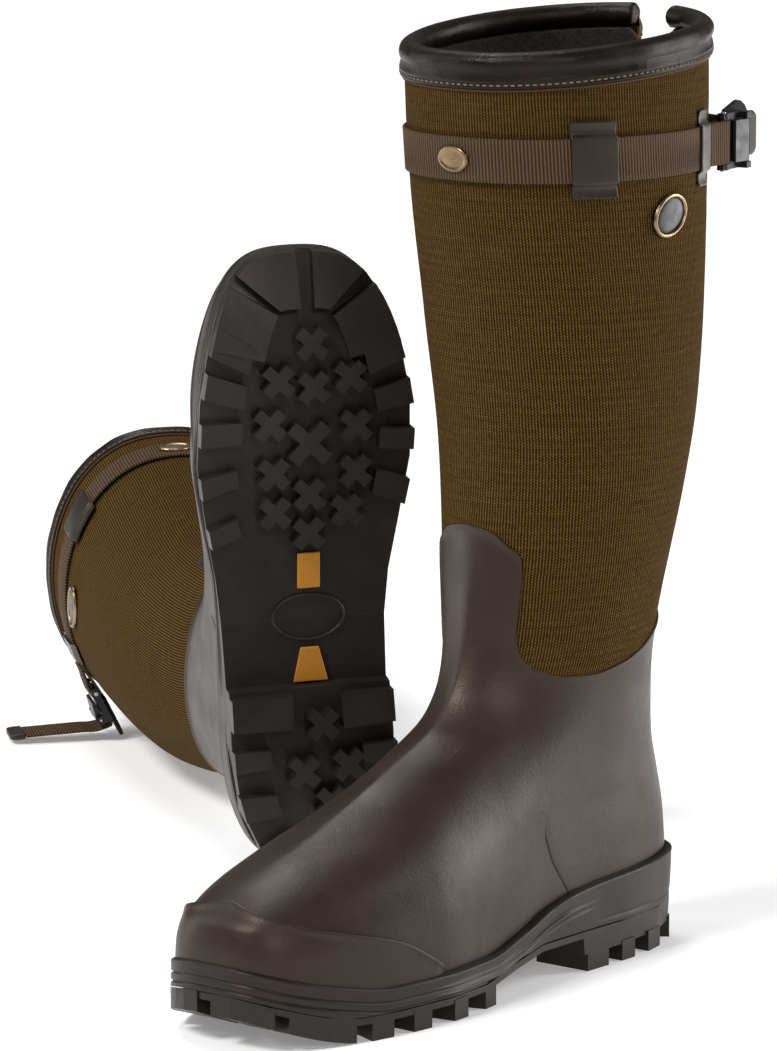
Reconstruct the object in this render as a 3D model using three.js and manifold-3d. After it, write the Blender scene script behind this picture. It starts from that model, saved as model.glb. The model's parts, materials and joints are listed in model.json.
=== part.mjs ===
// A pair of insulated hunting boots: a rubber foot on a lugged sole, a tall woven shaft with a
// rolled leather collar, and a buckled strap below the collar. The left boot stands; the right
// boot, its mirror image, lies on its back. Millimetres, +Z up. A boot's own frame has its toe
// towards -Y, its heel towards +Y, the lateral side towards +X and the ground at Z = 0.
import * as THREE from 'three';
import { mergeVertices } from 'three/addons/utils/BufferGeometryUtils.js';
import Module from 'manifold-3d';

const wasm = await Module();
wasm.setup();

// Overall sizes
const UPPER_LENGTH = 299;        // heel to toe of the upper
const BALL_WIDTH = 104;          // across the ball of the upper
const SHAFT_TOP = 414;           // top edge of the shaft at the front
const EAR_RISE = 11;             // extra height of the top edge at the back

// Walls and clearances
const CLEARANCE = 0.4;           // between layers that are glued or stitched together
const LINING_GAP = 0.7;
const SHELL_WALL = 2.6;          // rubber foot shell
const SHAFT_WALL = 2.2;          // woven shaft
const LINING_WALL = 4;           // insulating lining
const TOE_CAP_WALL = 1.2;
const COUNTER_WALL = 0.9;
const COUNTER_TOP = 98;          // top of the heel counter
const RAND_WALL = 3.8;           // rubber rand around the foot, at its foot

// Sole
const TOE_SPRING = 17;           // height of the toe's tip above the ground
const TREAD_DEPTH = 8;           // lug height
const PLATE_WALL = 3;            // outsole plate at the forefoot and waist
const WAIST_HEIGHT = 16;         // underside of the waist
const HEEL_PLATE_TOP = 19;
const HEEL_BREAST = 53;          // front face of the heel, along Y
const STUD_SIZE = 17;            // small cross-shaped studs
const STUD_BAR = 5.8;
const SHELL_TUCK = 6;            // how far the shell runs down behind the rand
const BOARD_WALL = 1.4;
const SHANK_WALL = 1.2;
const FOOTBED_WALL = 5;
const INSERT_WALL = 2;
const SHANK_HALF_WIDTH = 14;
const TOE_LUG_DEPTH = 22;        // how far the rim's blocks reach in, at the toe and at the heel
const HEEL_LUG_DEPTH = 14;
const RAND_SLOPE = 1.5;          // height of the rand's rounded upper edge

// Notch at the back of the shaft
const NOTCH_BOTTOM = 345;
const NOTCH_INNER = 6.5;         // degrees each side of the back seam at its foot
const NOTCH_OUTER = 9.5;         // and at its top
const GUSSET_TOP = 405;

// Rolled collar, about the top edge of the shaft
const COLLAR_ROLL = 5.4;         // radius of the roll
const COLLAR_CENTRE = -3.4;      // its centre, out from the skin
const COLLAR_FACE = 1.7;         // outer face of the flange, out from the skin
const COLLAR_SHOULDER = 4;       // where the flange meets the roll
const FLANGE_DROP = 5;

// Strap and buckle
const STRAP_DROP = 37;           // strap centre below the shaft's front top edge
const STRAP_WIDTH = 20;
const STRAP_WALL = 1.5;
const LOOP_WALL = 1.3;
const LOOP_TAB = 7;              // length of a belt loop's tab above and below the strap
const LOOP_SEAT = 0.1;           // inner face of a tab, out from the skin
const LOOP_STEP = 1.4;           // height of the bend between a tab and the bridge
const SIDE_LOOP_WIDTH = 22;
const BACK_LOOP_WIDTH = 11;
const SIDE_LOOP_ANGLE = 125;
const BACK_LOOP_ANGLE = 67;
const STRAP_START = 60;          // degrees; the strap leaves the back loop here
const BUCKLE_ANGLE = 57;
const PIN_RADIUS = 1.3;
const PIN_PLACE = 12;            // buckle pin, along the buckle from where it leaves the boot
const FRAME_LENGTH = 20;
const FRAME_HEIGHT = 26;
const FRAME_WALL = 3.4;
const LEVER_WALL = 1.8;
const LEVER_PIN_RADIUS = 0.9;
const RUNNING_GAP = 0.3;
const EYE_WALL = 1.2;            // around the buckle pin's ears
const LEVER_EYE_WALL = 0.9;
const LEVER_LENGTH_SPARE = 4.5;  // lever tip, beyond the buckle pin
const POST_HALF_WIDTH = 2.2;     // posts that hold the lever's pin
const POST_HEIGHT = 3;
const KNUCKLE_INSET = 4;         // posts, below the frame's ends
const FOLD_GAP = 0.8;            // from the strap's start to the folded webbing
const TAB_START = 18;            // pull tab, along the buckle
const TAB_CENTRE = [31, 5];
const TAB_RADII = [13, 12.5];
const TAB_WALL = 2;

// Badges, as half lengths of their ovals
const STRAP_BADGE = [8.5, 6];
const STRAP_BADGE_WALL = 1.4;
const SHAFT_BADGE = [12, 9.6];
const BADGE_RIM = 2;
const BADGE_RIM_WALL = 2.2;
const BADGE_FACE_WALL = 1.5;
const BADGE_ANGLE = 91;
const BADGE_DROP = 28;           // badge centre below the strap
const BADGE_TILT = 25;
const BADGE_SINK = 0.15;         // into the shaft's weave

// The last: outlines of the upper against height, and half widths of the foot along its length.
const TABLE_LENGTH = 299;
const TABLE_WIDTH = 104;
const TABLE_TOP = 414;
const ANKLE = 140;               // heights above this stretch with the shaft
const FRONT_LINE = curve([[8, -157], [40, -157], [52, -155], [64, -141], [75, -117], [84, -90],
  [94, -64], [105, -38], [118, -9], [134, 6], [154, 14], [178, 19], [205, 23], [240, 25],
  [300, 19], [360, 10], [437, 3]]);
const BACK_LINE = curve([[8, 138], [44, 142], [70, 141], [100, 136], [130, 134], [160, 137],
  [190, 142], [220, 148], [260, 154], [300, 156], [437, 158]]);
const LEG_WIDTH = curve([[8, 34], [90, 33], [130, 38], [170, 45.5], [210, 52], [260, 58],
  [300, 61], [360, 63], [437, 64]]);
const LATERAL_WIDTH = curve([[-165, 47], [-130, 49], [-90, 51], [-60, 50.5], [-30, 46], [0, 41],
  [30, 39], [60, 40], [90, 43], [110, 44], [140, 44]]);
const MEDIAL_WIDTH = curve([[-165, 52], [-130, 53], [-90, 53], [-60, 49], [-30, 41], [0, 35.5],
  [30, 34], [60, 36.5], [90, 41], [110, 43], [140, 44]]);
const FOOT_SHARE = curve([[8, 1], [44, 1], [70, 0.85], [100, 0.6], [130, 0.35], [160, 0.12],
  [190, 0], [425, 0]]);
const TOE_FULLNESS = curve([[8, 0.5], [40, 0.54], [60, 0.7], [80, 1.3], [100, 1.45], [130, 1.4],
  [170, 1.18], [210, 1], [437, 0.85]]);
const HEEL_FULLNESS = curve([[8, 0.5], [60, 0.55], [100, 0.7], [150, 0.9], [190, 1], [425, 1]]);
const CORNER_EASE = 0.1;
const SOLE_LEVEL = 24;           // height at which the sole's outline is taken
const LEVELS = [24, 40, 50, 58, 66, 75, 85, 96, 108, 122, 138, 156, 180, 208, 245, 290, 340];
const INNER_LEVELS = [40, 58, 75, 96, 122, 138, 156, 180, 208, 245, 340];
const CAVITY_LEVELS = [40, 75, 122, 156, 208, 290];
const SNAP = 1.5;                // a level this near a wall's edge is left out

// Angles around the leg, in degrees: 0 at the heel, 90 lateral, 180 at the toe, 270 medial.
const WAIST_START = 97.5;        // these two lie where the waist begins and where it is full
const WAIST_FULL = 79;
const HALF_TURN = [0, NOTCH_INNER, NOTCH_OUTER, 20, 36, 54, 67, WAIST_FULL, 88, WAIST_START, 110,
  123, 134, 144, 150, 158, 169, 180];
const bothSides = (half) => [...half, ...half.slice(1, -1).reverse().map((angle) => 360 - angle)];
const AROUND = bothSides(HALF_TURN);

// Monotone cubic through points sorted by their first value.
function curve(points) {
  const slopes = points.slice(1).map((p, i) => (p[1] - points[i][1]) / (p[0] - points[i][0]));
  const tangents = points.map((p, i) => {
    if (i === 0) return slopes[0];
    if (i === points.length - 1) return slopes[i - 1];
    const before = slopes[i - 1];
    const after = slopes[i];
    if (before * after <= 0) return 0;
    const h0 = p[0] - points[i - 1][0];
    const h1 = points[i + 1][0] - p[0];
    return (3 * (h0 + h1)) / ((2 * h1 + h0) / before + (h1 + 2 * h0) / after);
  });
  return (value) => {
    const last = points.length - 1;
    const x = Math.min(Math.max(value, points[0][0]), points[last][0]);
    let i = 0;
    while (i < last - 1 && x > points[i + 1][0]) i += 1;
    const h = points[i + 1][0] - points[i][0];
    const t = (x - points[i][0]) / h;
    const s = 1 - t;
    return points[i][1] * (1 + 2 * t) * s * s + h * tangents[i] * t * s * s
      + points[i + 1][1] * t * t * (3 - 2 * t) + h * tangents[i + 1] * t * t * (t - 1);
  };
}

const radians = THREE.MathUtils.degToRad;

// Height in the last's tables for a height on this boot.
function tableHeight(z) {
  return z <= ANKLE ? z : ANKLE + (z - ANKLE) * (TABLE_TOP - ANKLE) / (SHAFT_TOP - ANKLE);
}

// Horizontal section of the upper's skin: [x, y] at a height and an angle in degrees.
function section(height, angle) {
  const z = tableHeight(height);
  const c = Math.cos(radians(angle));
  const s = Math.sin(radians(angle));
  const front = FRONT_LINE(z);
  const back = BACK_LINE(z);
  const y = (back + front) / 2 + (back - front) / 2 * c;
  const foot = FOOT_SHARE(z);
  const side = s >= 0 ? LATERAL_WIDTH(y) : MEDIAL_WIDTH(y);
  const width = side * foot + LEG_WIDTH(z) * (1 - foot);
  const toe = (1 - c) / 2;
  const power = HEEL_FULLNESS(z) * (1 - toe) + TOE_FULLNESS(z) * toe;
  const ease = CORNER_EASE ** 2;
  const x = s * ((s * s + ease) / (1 + ease)) ** ((power - 1) / 2) * width;
  return [x * BALL_WIDTH / TABLE_WIDTH, y * UPPER_LENGTH / TABLE_LENGTH];
}

// Outward unit normal of the skin.
function skinNormal(angle, z) {
  const [xa, ya] = section(z, angle - 0.05);
  const [xb, yb] = section(z, angle + 0.05);
  const [xc, yc] = section(z - 0.25, angle);
  const [xd, yd] = section(z + 0.25, angle);
  const up = new THREE.Vector3(xd - xc, yd - yc, 0.5);
  return up.cross(new THREE.Vector3(xb - xa, yb - ya, 0)).normalize();
}

// Point on the skin, moved out along its normal.
function skin(angle, z, offset = 0) {
  const [x, y] = section(z, angle);
  return new THREE.Vector3(x, y, z).addScaledVector(skinNormal(angle, z), offset);
}

// Place along the foot for an angle around the sole's outline, and the angle for a place.
const toFoot = UPPER_LENGTH / TABLE_LENGTH;
const footY = (angle) => section(SOLE_LEVEL, angle)[1];

function angleAtY(y) {
  const back = footY(0);
  const front = footY(180);
  const c = (2 * y * toFoot - back - front) / (back - front);
  return THREE.MathUtils.radToDeg(Math.acos(THREE.MathUtils.clamp(c, -1, 1)));
}

// Heights along the foot. Each takes Y and holds for the whole width of the sole.
const ground = (y) => {
  const past = Math.max(0, -110 - y / toFoot) / 55;
  return TOE_SPRING * past ** 1.6;
};
const FEATHER = curve([[-165, 41], [-145, 33], [-122, 27], [-92, 22.5], [-24, 22.5], [5, 28],
  [27, 35], [47, 39], [71, 41], [140, 44]]);
const feather = (y) => FEATHER(y / toFoot);
const waist = (y) => {
  const [start, full] = [footY(WAIST_START), footY(WAIST_FULL)];
  return THREE.MathUtils.clamp((y - start) / (full - start), 0, 1);
};
const inHeel = (y) => y >= HEEL_BREAST * toFoot;
const plateBottom = (y) => {
  const forefoot = ground(y) + TREAD_DEPTH;
  return inHeel(y) ? TREAD_DEPTH : forefoot + (WAIST_HEIGHT - TREAD_DEPTH) * waist(y);
};
const plateTop = (y) => {
  const heelRise = HEEL_PLATE_TOP - TREAD_DEPTH - PLATE_WALL;
  return ground(y) + TREAD_DEPTH + PLATE_WALL + heelRise * waist(y);
};

// The same heights at an angle around the sole's outline.
const featherAt = (angle) => feather(footY(angle));
const plateTopAt = (angle) => plateTop(footY(angle));

// Upper edge of the rubber shell: a tall shin panel, low over the ankle, rising at the heel.
// Its table takes degrees from the middle of the shin panel.
const SHIN_MIDDLE = 187;
const SHELL_EDGE = curve([[0, 208], [14, 206], [28, 199], [34, 195], [38, 180], [41, 160],
  [46, 150], [52, 145], [59, 142], [71, 139], [86, 138], [101, 140], [117, 144], [139, 152],
  [187, 166]]);
const TOE_CAP_EDGE = curve([[110, 26], [123, 42], [137, 49], [158, 56], [180, 62]]);
const mirrored = (angle) => Math.min(angle, 360 - angle);
const shellEdge = (angle) => {
  const z = SHELL_EDGE(Math.abs(angle - SHIN_MIDDLE));
  return z <= ANKLE ? z : ANKLE + (z - ANKLE) * (SHAFT_TOP - ANKLE) / (TABLE_TOP - ANKLE);
};
const topEdge = (angle) => SHAFT_TOP + EAR_RISE * (1 + Math.cos(radians(angle))) / 2;
const drop = TABLE_TOP - SHAFT_TOP;
const inNotch = (angle) => mirrored(angle) < (NOTCH_INNER + NOTCH_OUTER) / 2;
const strapHeight = SHAFT_TOP - STRAP_DROP;

// A closed geometry from triangles given as vertex triples.
function closedGeometry(triangles) {
  const flat = new THREE.BufferGeometry();
  const coordinates = triangles.flatMap((t) => t.flatMap((v) => [v.x, v.y, v.z]));
  flat.setAttribute('position', new THREE.Float32BufferAttribute(coordinates, 3));
  const merged = mergeVertices(flat, 1e-3);
  const index = merged.index.array;
  const kept = [];
  for (let i = 0; i < index.length; i += 3) {
    const [a, b, c] = [index[i], index[i + 1], index[i + 2]];
    if (a !== b && b !== c && c !== a) kept.push(a, b, c);
  }
  merged.setIndex(kept);
  return volume(merged) < 0 ? turnedOver(merged) : merged;
}

function volume(geometry) {
  const p = geometry.attributes.position;
  const index = geometry.index.array;
  let sum = 0;
  for (let i = 0; i < index.length; i += 3) {
    const [a, b, c] = [0, 1, 2].map((k) => new THREE.Vector3().fromBufferAttribute(p, index[i + k]));
    sum += a.dot(b.cross(c)) / 6;
  }
  return sum;
}

function turnedOver(geometry) {
  const index = Array.from(geometry.index.array);
  for (let i = 0; i < index.length; i += 3) [index[i], index[i + 1]] = [index[i + 1], index[i]];
  geometry.setIndex(index);
  return geometry;
}

const quad = (a, b, c, d) => [[a, b, c], [a, c, d]];

// Quads between two rows of points. A ring joins its last column to its first.
function strip(rowA, rowB, ring) {
  const count = ring ? rowA.length : rowA.length - 1;
  return Array.from({ length: count }, (_, i) => {
    const j = (i + 1) % rowA.length;
    return quad(rowA[i], rowA[j], rowB[j], rowB[i]);
  }).flat();
}

// A wall between an outer and an inner sheet, each a list of rows from the bottom up.
function wall(outer, inner, ring) {
  const sheet = (rows) => rows.slice(1).flatMap((row, i) => strip(rows[i], row, ring));
  const flipped = sheet(inner).map(([a, b, c]) => [a, c, b]);
  const bottom = strip(inner[0], outer[0], ring);
  const top = strip(outer.at(-1), inner.at(-1), ring);
  const triangles = [...sheet(outer), ...flipped, ...bottom, ...top];
  if (!ring) {
    const column = (rows, i) => rows.map((row) => row.at(i));
    triangles.push(...strip(column(outer, 0), column(inner, 0), false));
    triangles.push(...strip(column(inner, -1), column(outer, -1), false));
  }
  return closedGeometry(triangles);
}

// The same with its height kept, for edges that meet the sole.
function levelSkin(angle, z, offset) {
  const p = skin(angle, z, offset);
  return p.setZ(z);
}

// Rows of skin points from a low edge to a high edge, through the levels between them.
function skinRows(angles, low, high, offset, levels) {
  const heights = [low, ...levels.map((level) => (angle) => {
    if (level < low(angle) + SNAP) return low(angle);
    return level > high(angle) - SNAP ? high(angle) : level;
  }), high];
  return heights.map((height) => angles.map((angle) => skin(angle, height(angle), offset)));
}

function skinWall({ angles = AROUND, low, high, out, inside, levels = LEVELS, inner = levels }) {
  const ring = angles === AROUND;
  return wall(
    skinRows(angles, low, high, out, levels),
    skinRows(angles, low, high, inside, inner),
    ring,
  );
}

// A wall whose rows are given one by one, as [height, outer offset, inner offset].
function steppedWall(angles, rows) {
  const at = (angle, row, side) => levelSkin(angle, row(angle)[0], row(angle)[side]);
  const sheet = (side) => rows.map((row) => angles.map((angle) => at(angle, row, side)));
  return wall(sheet(1), sheet(2), angles === AROUND);
}

// Angles from one value to another, keeping those of the nested walls between them.
function anglesBetween(start, end) {
  const all = [-360, 0, 360].flatMap((turn) => AROUND.map((angle) => angle + turn));
  return [start, ...all.filter((angle) => angle > start + 1 && angle < end - 1), end];
}

// A flat layer that fills the outline of the sole, set in or out by an offset.
function soleLayer(offset, bottom, top, extra = []) {
  const stations = [...HALF_TURN, ...extra].sort((a, b) => a - b);
  const edge = (angle, height) => levelSkin(angle, height(footY(angle)), offset);
  const row = (height, side) => stations.map((angle) => edge(side > 0 ? angle : 360 - angle, height));
  const rows = [row(top, 1), row(top, -1), row(bottom, -1), row(bottom, 1)];
  return closedGeometry(rows.flatMap((r, i) => strip(r, rows[(i + 1) % 4], false)));
}

// A plan point of the sole's outline, moved out by an offset.
function outline(angle, offset) {
  const p = skin(angle, SOLE_LEVEL, offset);
  return new THREE.Vector2(p.x, p.y);
}

// An upright prism on a plan outline, between two heights that follow the foot.
function prism(points, bottom, top) {
  const plan = THREE.ShapeUtils.isClockWise(points) ? [...points].reverse() : points;
  const lift = (height) => plan.map((p) => new THREE.Vector3(p.x, p.y, height(p.y)));
  const [lower, upper] = [lift(bottom), lift(top)];
  const faces = THREE.ShapeUtils.triangulateShape(plan, []);
  return closedGeometry([
    ...strip(lower, upper, true),
    ...faces.map(([a, b, c]) => [upper[a], upper[b], upper[c]]),
    ...faces.map(([a, b, c]) => [lower[a], lower[c], lower[b]]),
  ]);
}

// Manifold solids and back.
function toSolid(geometry) {
  let bare = geometry.clone();
  bare.deleteAttribute('normal');
  bare.deleteAttribute('uv');
  bare = mergeVertices(bare, 1e-4);
  return new wasm.Manifold(new wasm.Mesh({
    numProp: 3,
    vertProperties: new Float32Array(bare.attributes.position.array),
    triVerts: new Uint32Array(bare.index.array),
  }));
}

function toGeometry(solid) {
  const mesh = solid.getMesh();
  const geometry = new THREE.BufferGeometry();
  geometry.setAttribute('position', new THREE.BufferAttribute(mesh.vertProperties, 3));
  geometry.setIndex(new THREE.BufferAttribute(mesh.triVerts, 1));
  return geometry;
}

// ---- Outsole ----

// A block at the sole's edge between two places along the foot. The skew moves its inner end.
function edgeLug(side, y0, y1, depth, skew) {
  const at = (y, offset) => {
    const angle = angleAtY(y);
    return outline(side > 0 ? angle : 360 - angle, offset);
  };
  return [at(y0, RAND_WALL), at(y1, RAND_WALL), at(y1 + skew, -depth), at(y0 + skew, -depth)];
}

// A block of the toe's rim between two angles.
function toeLug(from, to, depth) {
  const steps = 4;
  const angles = Array.from({ length: steps + 1 }, (_, i) => from + (to - from) * i / steps);
  const inner = [...angles].reverse();
  return [...angles.map((a) => outline(a, RAND_WALL)), ...inner.map((a) => outline(a, -depth))];
}

// A cross-shaped stud, turned by an eighth.
function crossStud([x, y], scale) {
  const a = STUD_SIZE / 2 * scale;
  const c = STUD_BAR / 2 * scale ** 0.4;
  const arm = [[c, c], [c, a], [-c, a], [-c, c], [-a, c], [-a, -c], [-c, -c], [-c, -a], [c, -a],
    [c, -c], [a, -c], [a, c]];
  const turn = Math.PI / 4;
  return arm.map(([u, v]) => new THREE.Vector2(u, v).rotateAround(new THREE.Vector2(), turn))
    .map((p) => new THREE.Vector2((p.x + x) * BALL_WIDTH / TABLE_WIDTH, (p.y + y) * toFoot));
}

const FOREFOOT_STUDS = [[-4, -118], [13, -101], [-4, -97], [-22, -101], [18, -80], [-24, -77],
  [17, -56], [-23, -55], [0, -45], [17, -37], [-18, -36], [1, -26]];
const HEEL_STUDS = [[-3, 69], [7, 92], [-15, 90], [-6, 108]];
const SIDE_LUGS = [[1, -128, -114, 16, 5], [1, -106, -94, 16, 3], [1, -82, -71, 16, -2],
  [1, -56, -46, 14, -4], [1, -31, -22, 11, -3], [-1, -122, -108, 15, 4], [-1, -98, -86, 14, 2],
  [-1, -74, -64, 13, 0], [-1, -50, -38, 13, -2]];
const HEEL_LUGS = [[1, HEEL_BREAST + 1, 70, 26, 0], [1, 80, 90, 14, 0], [1, 102, 114, 14, 3],
  [-1, HEEL_BREAST + 1, 70, 22, 0], [-1, 80, 90, 13, 0], [-1, 102, 114, 13, 3]];
const TOE_LUGS = [[137, 156], [161, 180], [183, 200], [206, 224]];
const HEEL_END_LUGS = [[-22, -4], [4, 22]];
const CENTRE_STUD = [-1, -70];
const CENTRE_STUD_SCALE = 1.4;
const FRONT_INSERT = [-15, 3, 11, 11];
const REAR_INSERT = [33, 50, 9, 17];

function outsole() {
  const breast = angleAtY(HEEL_BREAST);
  const base = soleLayer(RAND_WALL, plateBottom, plateTop, [breast - 0.01, breast + 0.6]);
  const sink = (y) => plateBottom(y) + PLATE_WALL / 2;
  const plans = [
    ...[...FOREFOOT_STUDS, ...HEEL_STUDS].map((place) => crossStud(place, 1)),
    crossStud(CENTRE_STUD, CENTRE_STUD_SCALE),
    ...SIDE_LUGS.map((lug) => edgeLug(...lug)),
    ...HEEL_LUGS.map((lug) => edgeLug(...lug)),
    ...TOE_LUGS.map(([from, to]) => toeLug(from, to, TOE_LUG_DEPTH)),
    ...HEEL_END_LUGS.map(([from, to]) => toeLug(from, to, HEEL_LUG_DEPTH)),
  ];
  const lugs = plans.map((plan) => toSolid(prism(plan, ground, sink)));
  return toGeometry(wasm.Manifold.union([toSolid(base), ...lugs]));
}

// A raised insert under the waist, from one place along the foot to another.
function soleInsert(y0, y1, width0, width1) {
  const corners = [[-width0, y0], [width0, y0], [width1, y1], [-width1, y1]];
  const plan = corners.map(([x, y]) => new THREE.Vector2(x / 2, y * toFoot));
  const top = (y) => plateBottom(y) - CLEARANCE;
  return prism(plan, (y) => top(y) - INSERT_WALL, top);
}

// ---- Bottom layers, from the outsole up ----

const tuck = (y) => feather(y) - SHELL_TUCK;
const boardTop = (y) => tuck(y) + SHANK_WALL + BOARD_WALL + CLEARANCE;
const onBoard = (y) => boardTop(y) + CLEARANCE;
const onBoardAt = (angle) => onBoard(footY(angle));

const midsole = () => soleLayer(-0.2, (y) => plateTop(y) + CLEARANCE, (y) => tuck(y) - CLEARANCE);

const insoleBoard = () => soleLayer(
  -SHELL_WALL - CLEARANCE,
  (y) => boardTop(y) - BOARD_WALL,
  boardTop,
);

const footbed = () => soleLayer(
  -SHELL_WALL - LINING_GAP - LINING_WALL - 2 * CLEARANCE,
  onBoard,
  (y) => onBoard(y) + FOOTBED_WALL,
);

function shankPlate() {
  const stations = HALF_TURN.slice(4, 11).map(footY).reverse();
  const half = SHANK_HALF_WIDTH * BALL_WIDTH / TABLE_WIDTH;
  const side = (x) => stations.map((y) => new THREE.Vector2(x, y));
  const rows = (height) => [side(half), side(-half)].map((line) => line.map(
    (p) => new THREE.Vector3(p.x, p.y, height(p.y)),
  ));
  return wall(rows((y) => tuck(y) + SHANK_WALL), rows((y) => tuck(y)), false);
}

function rand() {
  return steppedWall(AROUND, [
    (angle) => [plateTopAt(angle) + CLEARANCE, RAND_WALL, CLEARANCE],
    (angle) => [featherAt(angle) - SHELL_TUCK, RAND_WALL, CLEARANCE],
    (angle) => [featherAt(angle) - RAND_SLOPE, RAND_WALL - 0.2, CLEARANCE],
    (angle) => [featherAt(angle), RAND_WALL - 1.6, CLEARANCE],
  ]);
}

// ---- Upper ----

const footShell = () => skinWall({
  low: (angle) => featherAt(angle) - SHELL_TUCK,
  high: shellEdge,
  out: 0,
  inside: -SHELL_WALL,
  inner: INNER_LEVELS,
});

const toeCap = () => skinWall({
  angles: anglesBetween(110, 250),
  low: (angle) => featherAt(angle) + CLEARANCE,
  high: (angle) => TOE_CAP_EDGE(mirrored(angle)),
  out: 2 * CLEARANCE + TOE_CAP_WALL,
  inside: 2 * CLEARANCE,
});

const heelCounter = () => skinWall({
  angles: anglesBetween(-WAIST_FULL, WAIST_FULL),
  low: (angle) => featherAt(angle) + CLEARANCE,
  high: () => COUNTER_TOP,
  out: 2 * CLEARANCE + COUNTER_WALL,
  inside: 2 * CLEARANCE,
  levels: [58, 75],
});

const shaft = () => skinWall({
  low: (angle) => shellEdge(angle) + 3 * CLEARANCE,
  high: (angle) => (inNotch(angle) ? NOTCH_BOTTOM - drop : topEdge(angle)),
  out: -CLEARANCE,
  inside: -CLEARANCE - SHAFT_WALL,
  inner: INNER_LEVELS,
});

const lining = () => skinWall({
  low: onBoardAt,
  high: (angle) => (inNotch(angle) ? GUSSET_TOP - drop : topEdge(angle)),
  out: -SHELL_WALL - LINING_GAP,
  inside: -SHELL_WALL - LINING_GAP - LINING_WALL,
  levels: INNER_LEVELS,
  inner: CAVITY_LEVELS,
});

const backGusset = () => skinWall({
  angles: anglesBetween(-NOTCH_INNER + 0.3, NOTCH_INNER - 0.3),
  low: () => NOTCH_BOTTOM - drop + CLEARANCE,
  high: () => GUSSET_TOP - drop,
  out: -CLEARANCE,
  inside: -CLEARANCE - SHAFT_WALL,
  levels: [],
});

// Rolled collar: a flange outside the shaft and a roll that covers the top of both layers.
function collar() {
  const arc = Array.from({ length: 6 }, (_, i) => radians(-10 + i * 45));
  const outer = [[CLEARANCE, -FLANGE_DROP], [COLLAR_FACE, -FLANGE_DROP],
    [COLLAR_FACE, COLLAR_SHOULDER],
    ...arc.map((a) => [
      COLLAR_CENTRE + COLLAR_ROLL * Math.cos(a),
      CLEARANCE + COLLAR_ROLL * (1 + Math.sin(a)),
    ]),
    [CLEARANCE, CLEARANCE]];
  const angles = anglesBetween(NOTCH_OUTER, 360 - NOTCH_OUTER);
  const place = (angle, [offset, rise]) => {
    const z = topEdge(angle);
    const lower = rise < 0 ? skin(angle, z + rise, offset) : skin(angle, z, offset);
    lower.z = z + rise;
    return lower;
  };
  const columns = angles.map((angle) => outer.map((point) => place(angle, point)));
  const around = columns.slice(1).flatMap((column, i) => strip(columns[i], column, true));
  const plan = outer.map(([u, v]) => new THREE.Vector2(u, v));
  const faces = THREE.ShapeUtils.triangulateShape(plan, []);
  const cap = (column, order) => faces.map((face) => order.map((k) => column[face[k]]));
  return closedGeometry([
    ...around,
    ...cap(columns[0], [0, 2, 1]),
    ...cap(columns.at(-1), [0, 1, 2]),
  ]);
}

// ---- Strap, loops and badges ----

const strapLow = () => strapHeight - STRAP_WIDTH / 2;
const strapHigh = () => strapHeight + STRAP_WIDTH / 2;

const strapBand = (end) => skinWall({
  angles: anglesBetween(STRAP_START, end),
  low: strapLow,
  high: strapHigh,
  out: CLEARANCE + STRAP_WALL,
  inside: CLEARANCE,
  levels: [],
});

// A belt loop: a plate bridging the strap, with a tab on the shaft above and below.
function beltLoop(angle, width) {
  const radius = skin(angle, strapHeight).distanceTo(skin(angle + 1, strapHeight));
  const half = width / 2 / radius;
  const angles = [-1, -0.5, 0, 0.5, 1].map((t) => angle + half * t);
  const tab = [LOOP_SEAT + LOOP_WALL, LOOP_SEAT];
  const underBridge = 2 * CLEARANCE + STRAP_WALL;
  const bridge = [underBridge + LOOP_WALL, underBridge];
  const reach = STRAP_WIDTH / 2 + CLEARANCE;
  const row = (rise, offsets) => () => [strapHeight + rise, ...offsets];
  return steppedWall(angles, [
    row(-reach - LOOP_TAB, tab),
    row(-reach - LOOP_STEP, tab),
    row(-reach, bridge),
    row(reach, bridge),
    row(reach + LOOP_STEP, tab),
    row(reach + LOOP_TAB, tab),
  ]);
}

// Places a mesh on the skin with its Z axis along the normal and its Y axis up the boot.
function onSkin(mesh, angle, z, offset, roll = 0) {
  const normal = skinNormal(angle, z);
  const across = new THREE.Vector3(0, 0, 1).cross(normal).normalize();
  const up = normal.clone().cross(across);
  mesh.quaternion.setFromRotationMatrix(new THREE.Matrix4().makeBasis(across, up, normal));
  mesh.rotateZ(radians(roll));
  mesh.position.copy(skin(angle, z, offset));
  return mesh;
}

function oval([a, b], sides = 20) {
  return Array.from({ length: sides }, (_, i) => {
    const t = i / sides * 2 * Math.PI;
    return new THREE.Vector2(a * Math.cos(t), b * Math.sin(t));
  });
}

function plate(points, depth, hole = null) {
  const shape = new THREE.Shape(points);
  if (hole) shape.holes.push(new THREE.Path(hole));
  return new THREE.ExtrudeGeometry(shape, { depth, bevelEnabled: false });
}

// ---- Buckle, in its own frame: X along it away from the boot, -Y its outer face, Z up ----

// A vertical extrusion centred on Z = 0.
function upright(points, height, hole = null) {
  return plate(points, height, hole).translate(0, 0, -height / 2);
}

const circle = (x, y, radius, sides = 10) => oval([radius, radius], sides)
  .map((p) => new THREE.Vector2(p.x + x, p.y + y));

const rod = (x, y, radius, length) => new THREE.CylinderGeometry(radius, radius, length, 10)
  .rotateX(Math.PI / 2)
  .translate(x, y, 0);

const pinHole = PIN_RADIUS + RUNNING_GAP;
const leverPinHole = LEVER_PIN_RADIUS + RUNNING_GAP;
const frameStart = PIN_PLACE - pinHole - 1;
const frameEnd = frameStart + FRAME_LENGTH;
const leverPinX = frameEnd - 2.6;
const frameFace = FRAME_WALL / 2;
const leverPinY = -frameFace - leverPinHole - LEVER_EYE_WALL - CLEARANCE;
const stack = frameFace + RUNNING_GAP;
const strapLead = skin(STRAP_START, strapHeight).distanceTo(skin(BUCKLE_ANGLE, strapHeight));
const knuckle = FRAME_HEIGHT / 2 - KNUCKLE_INSET;

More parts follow.
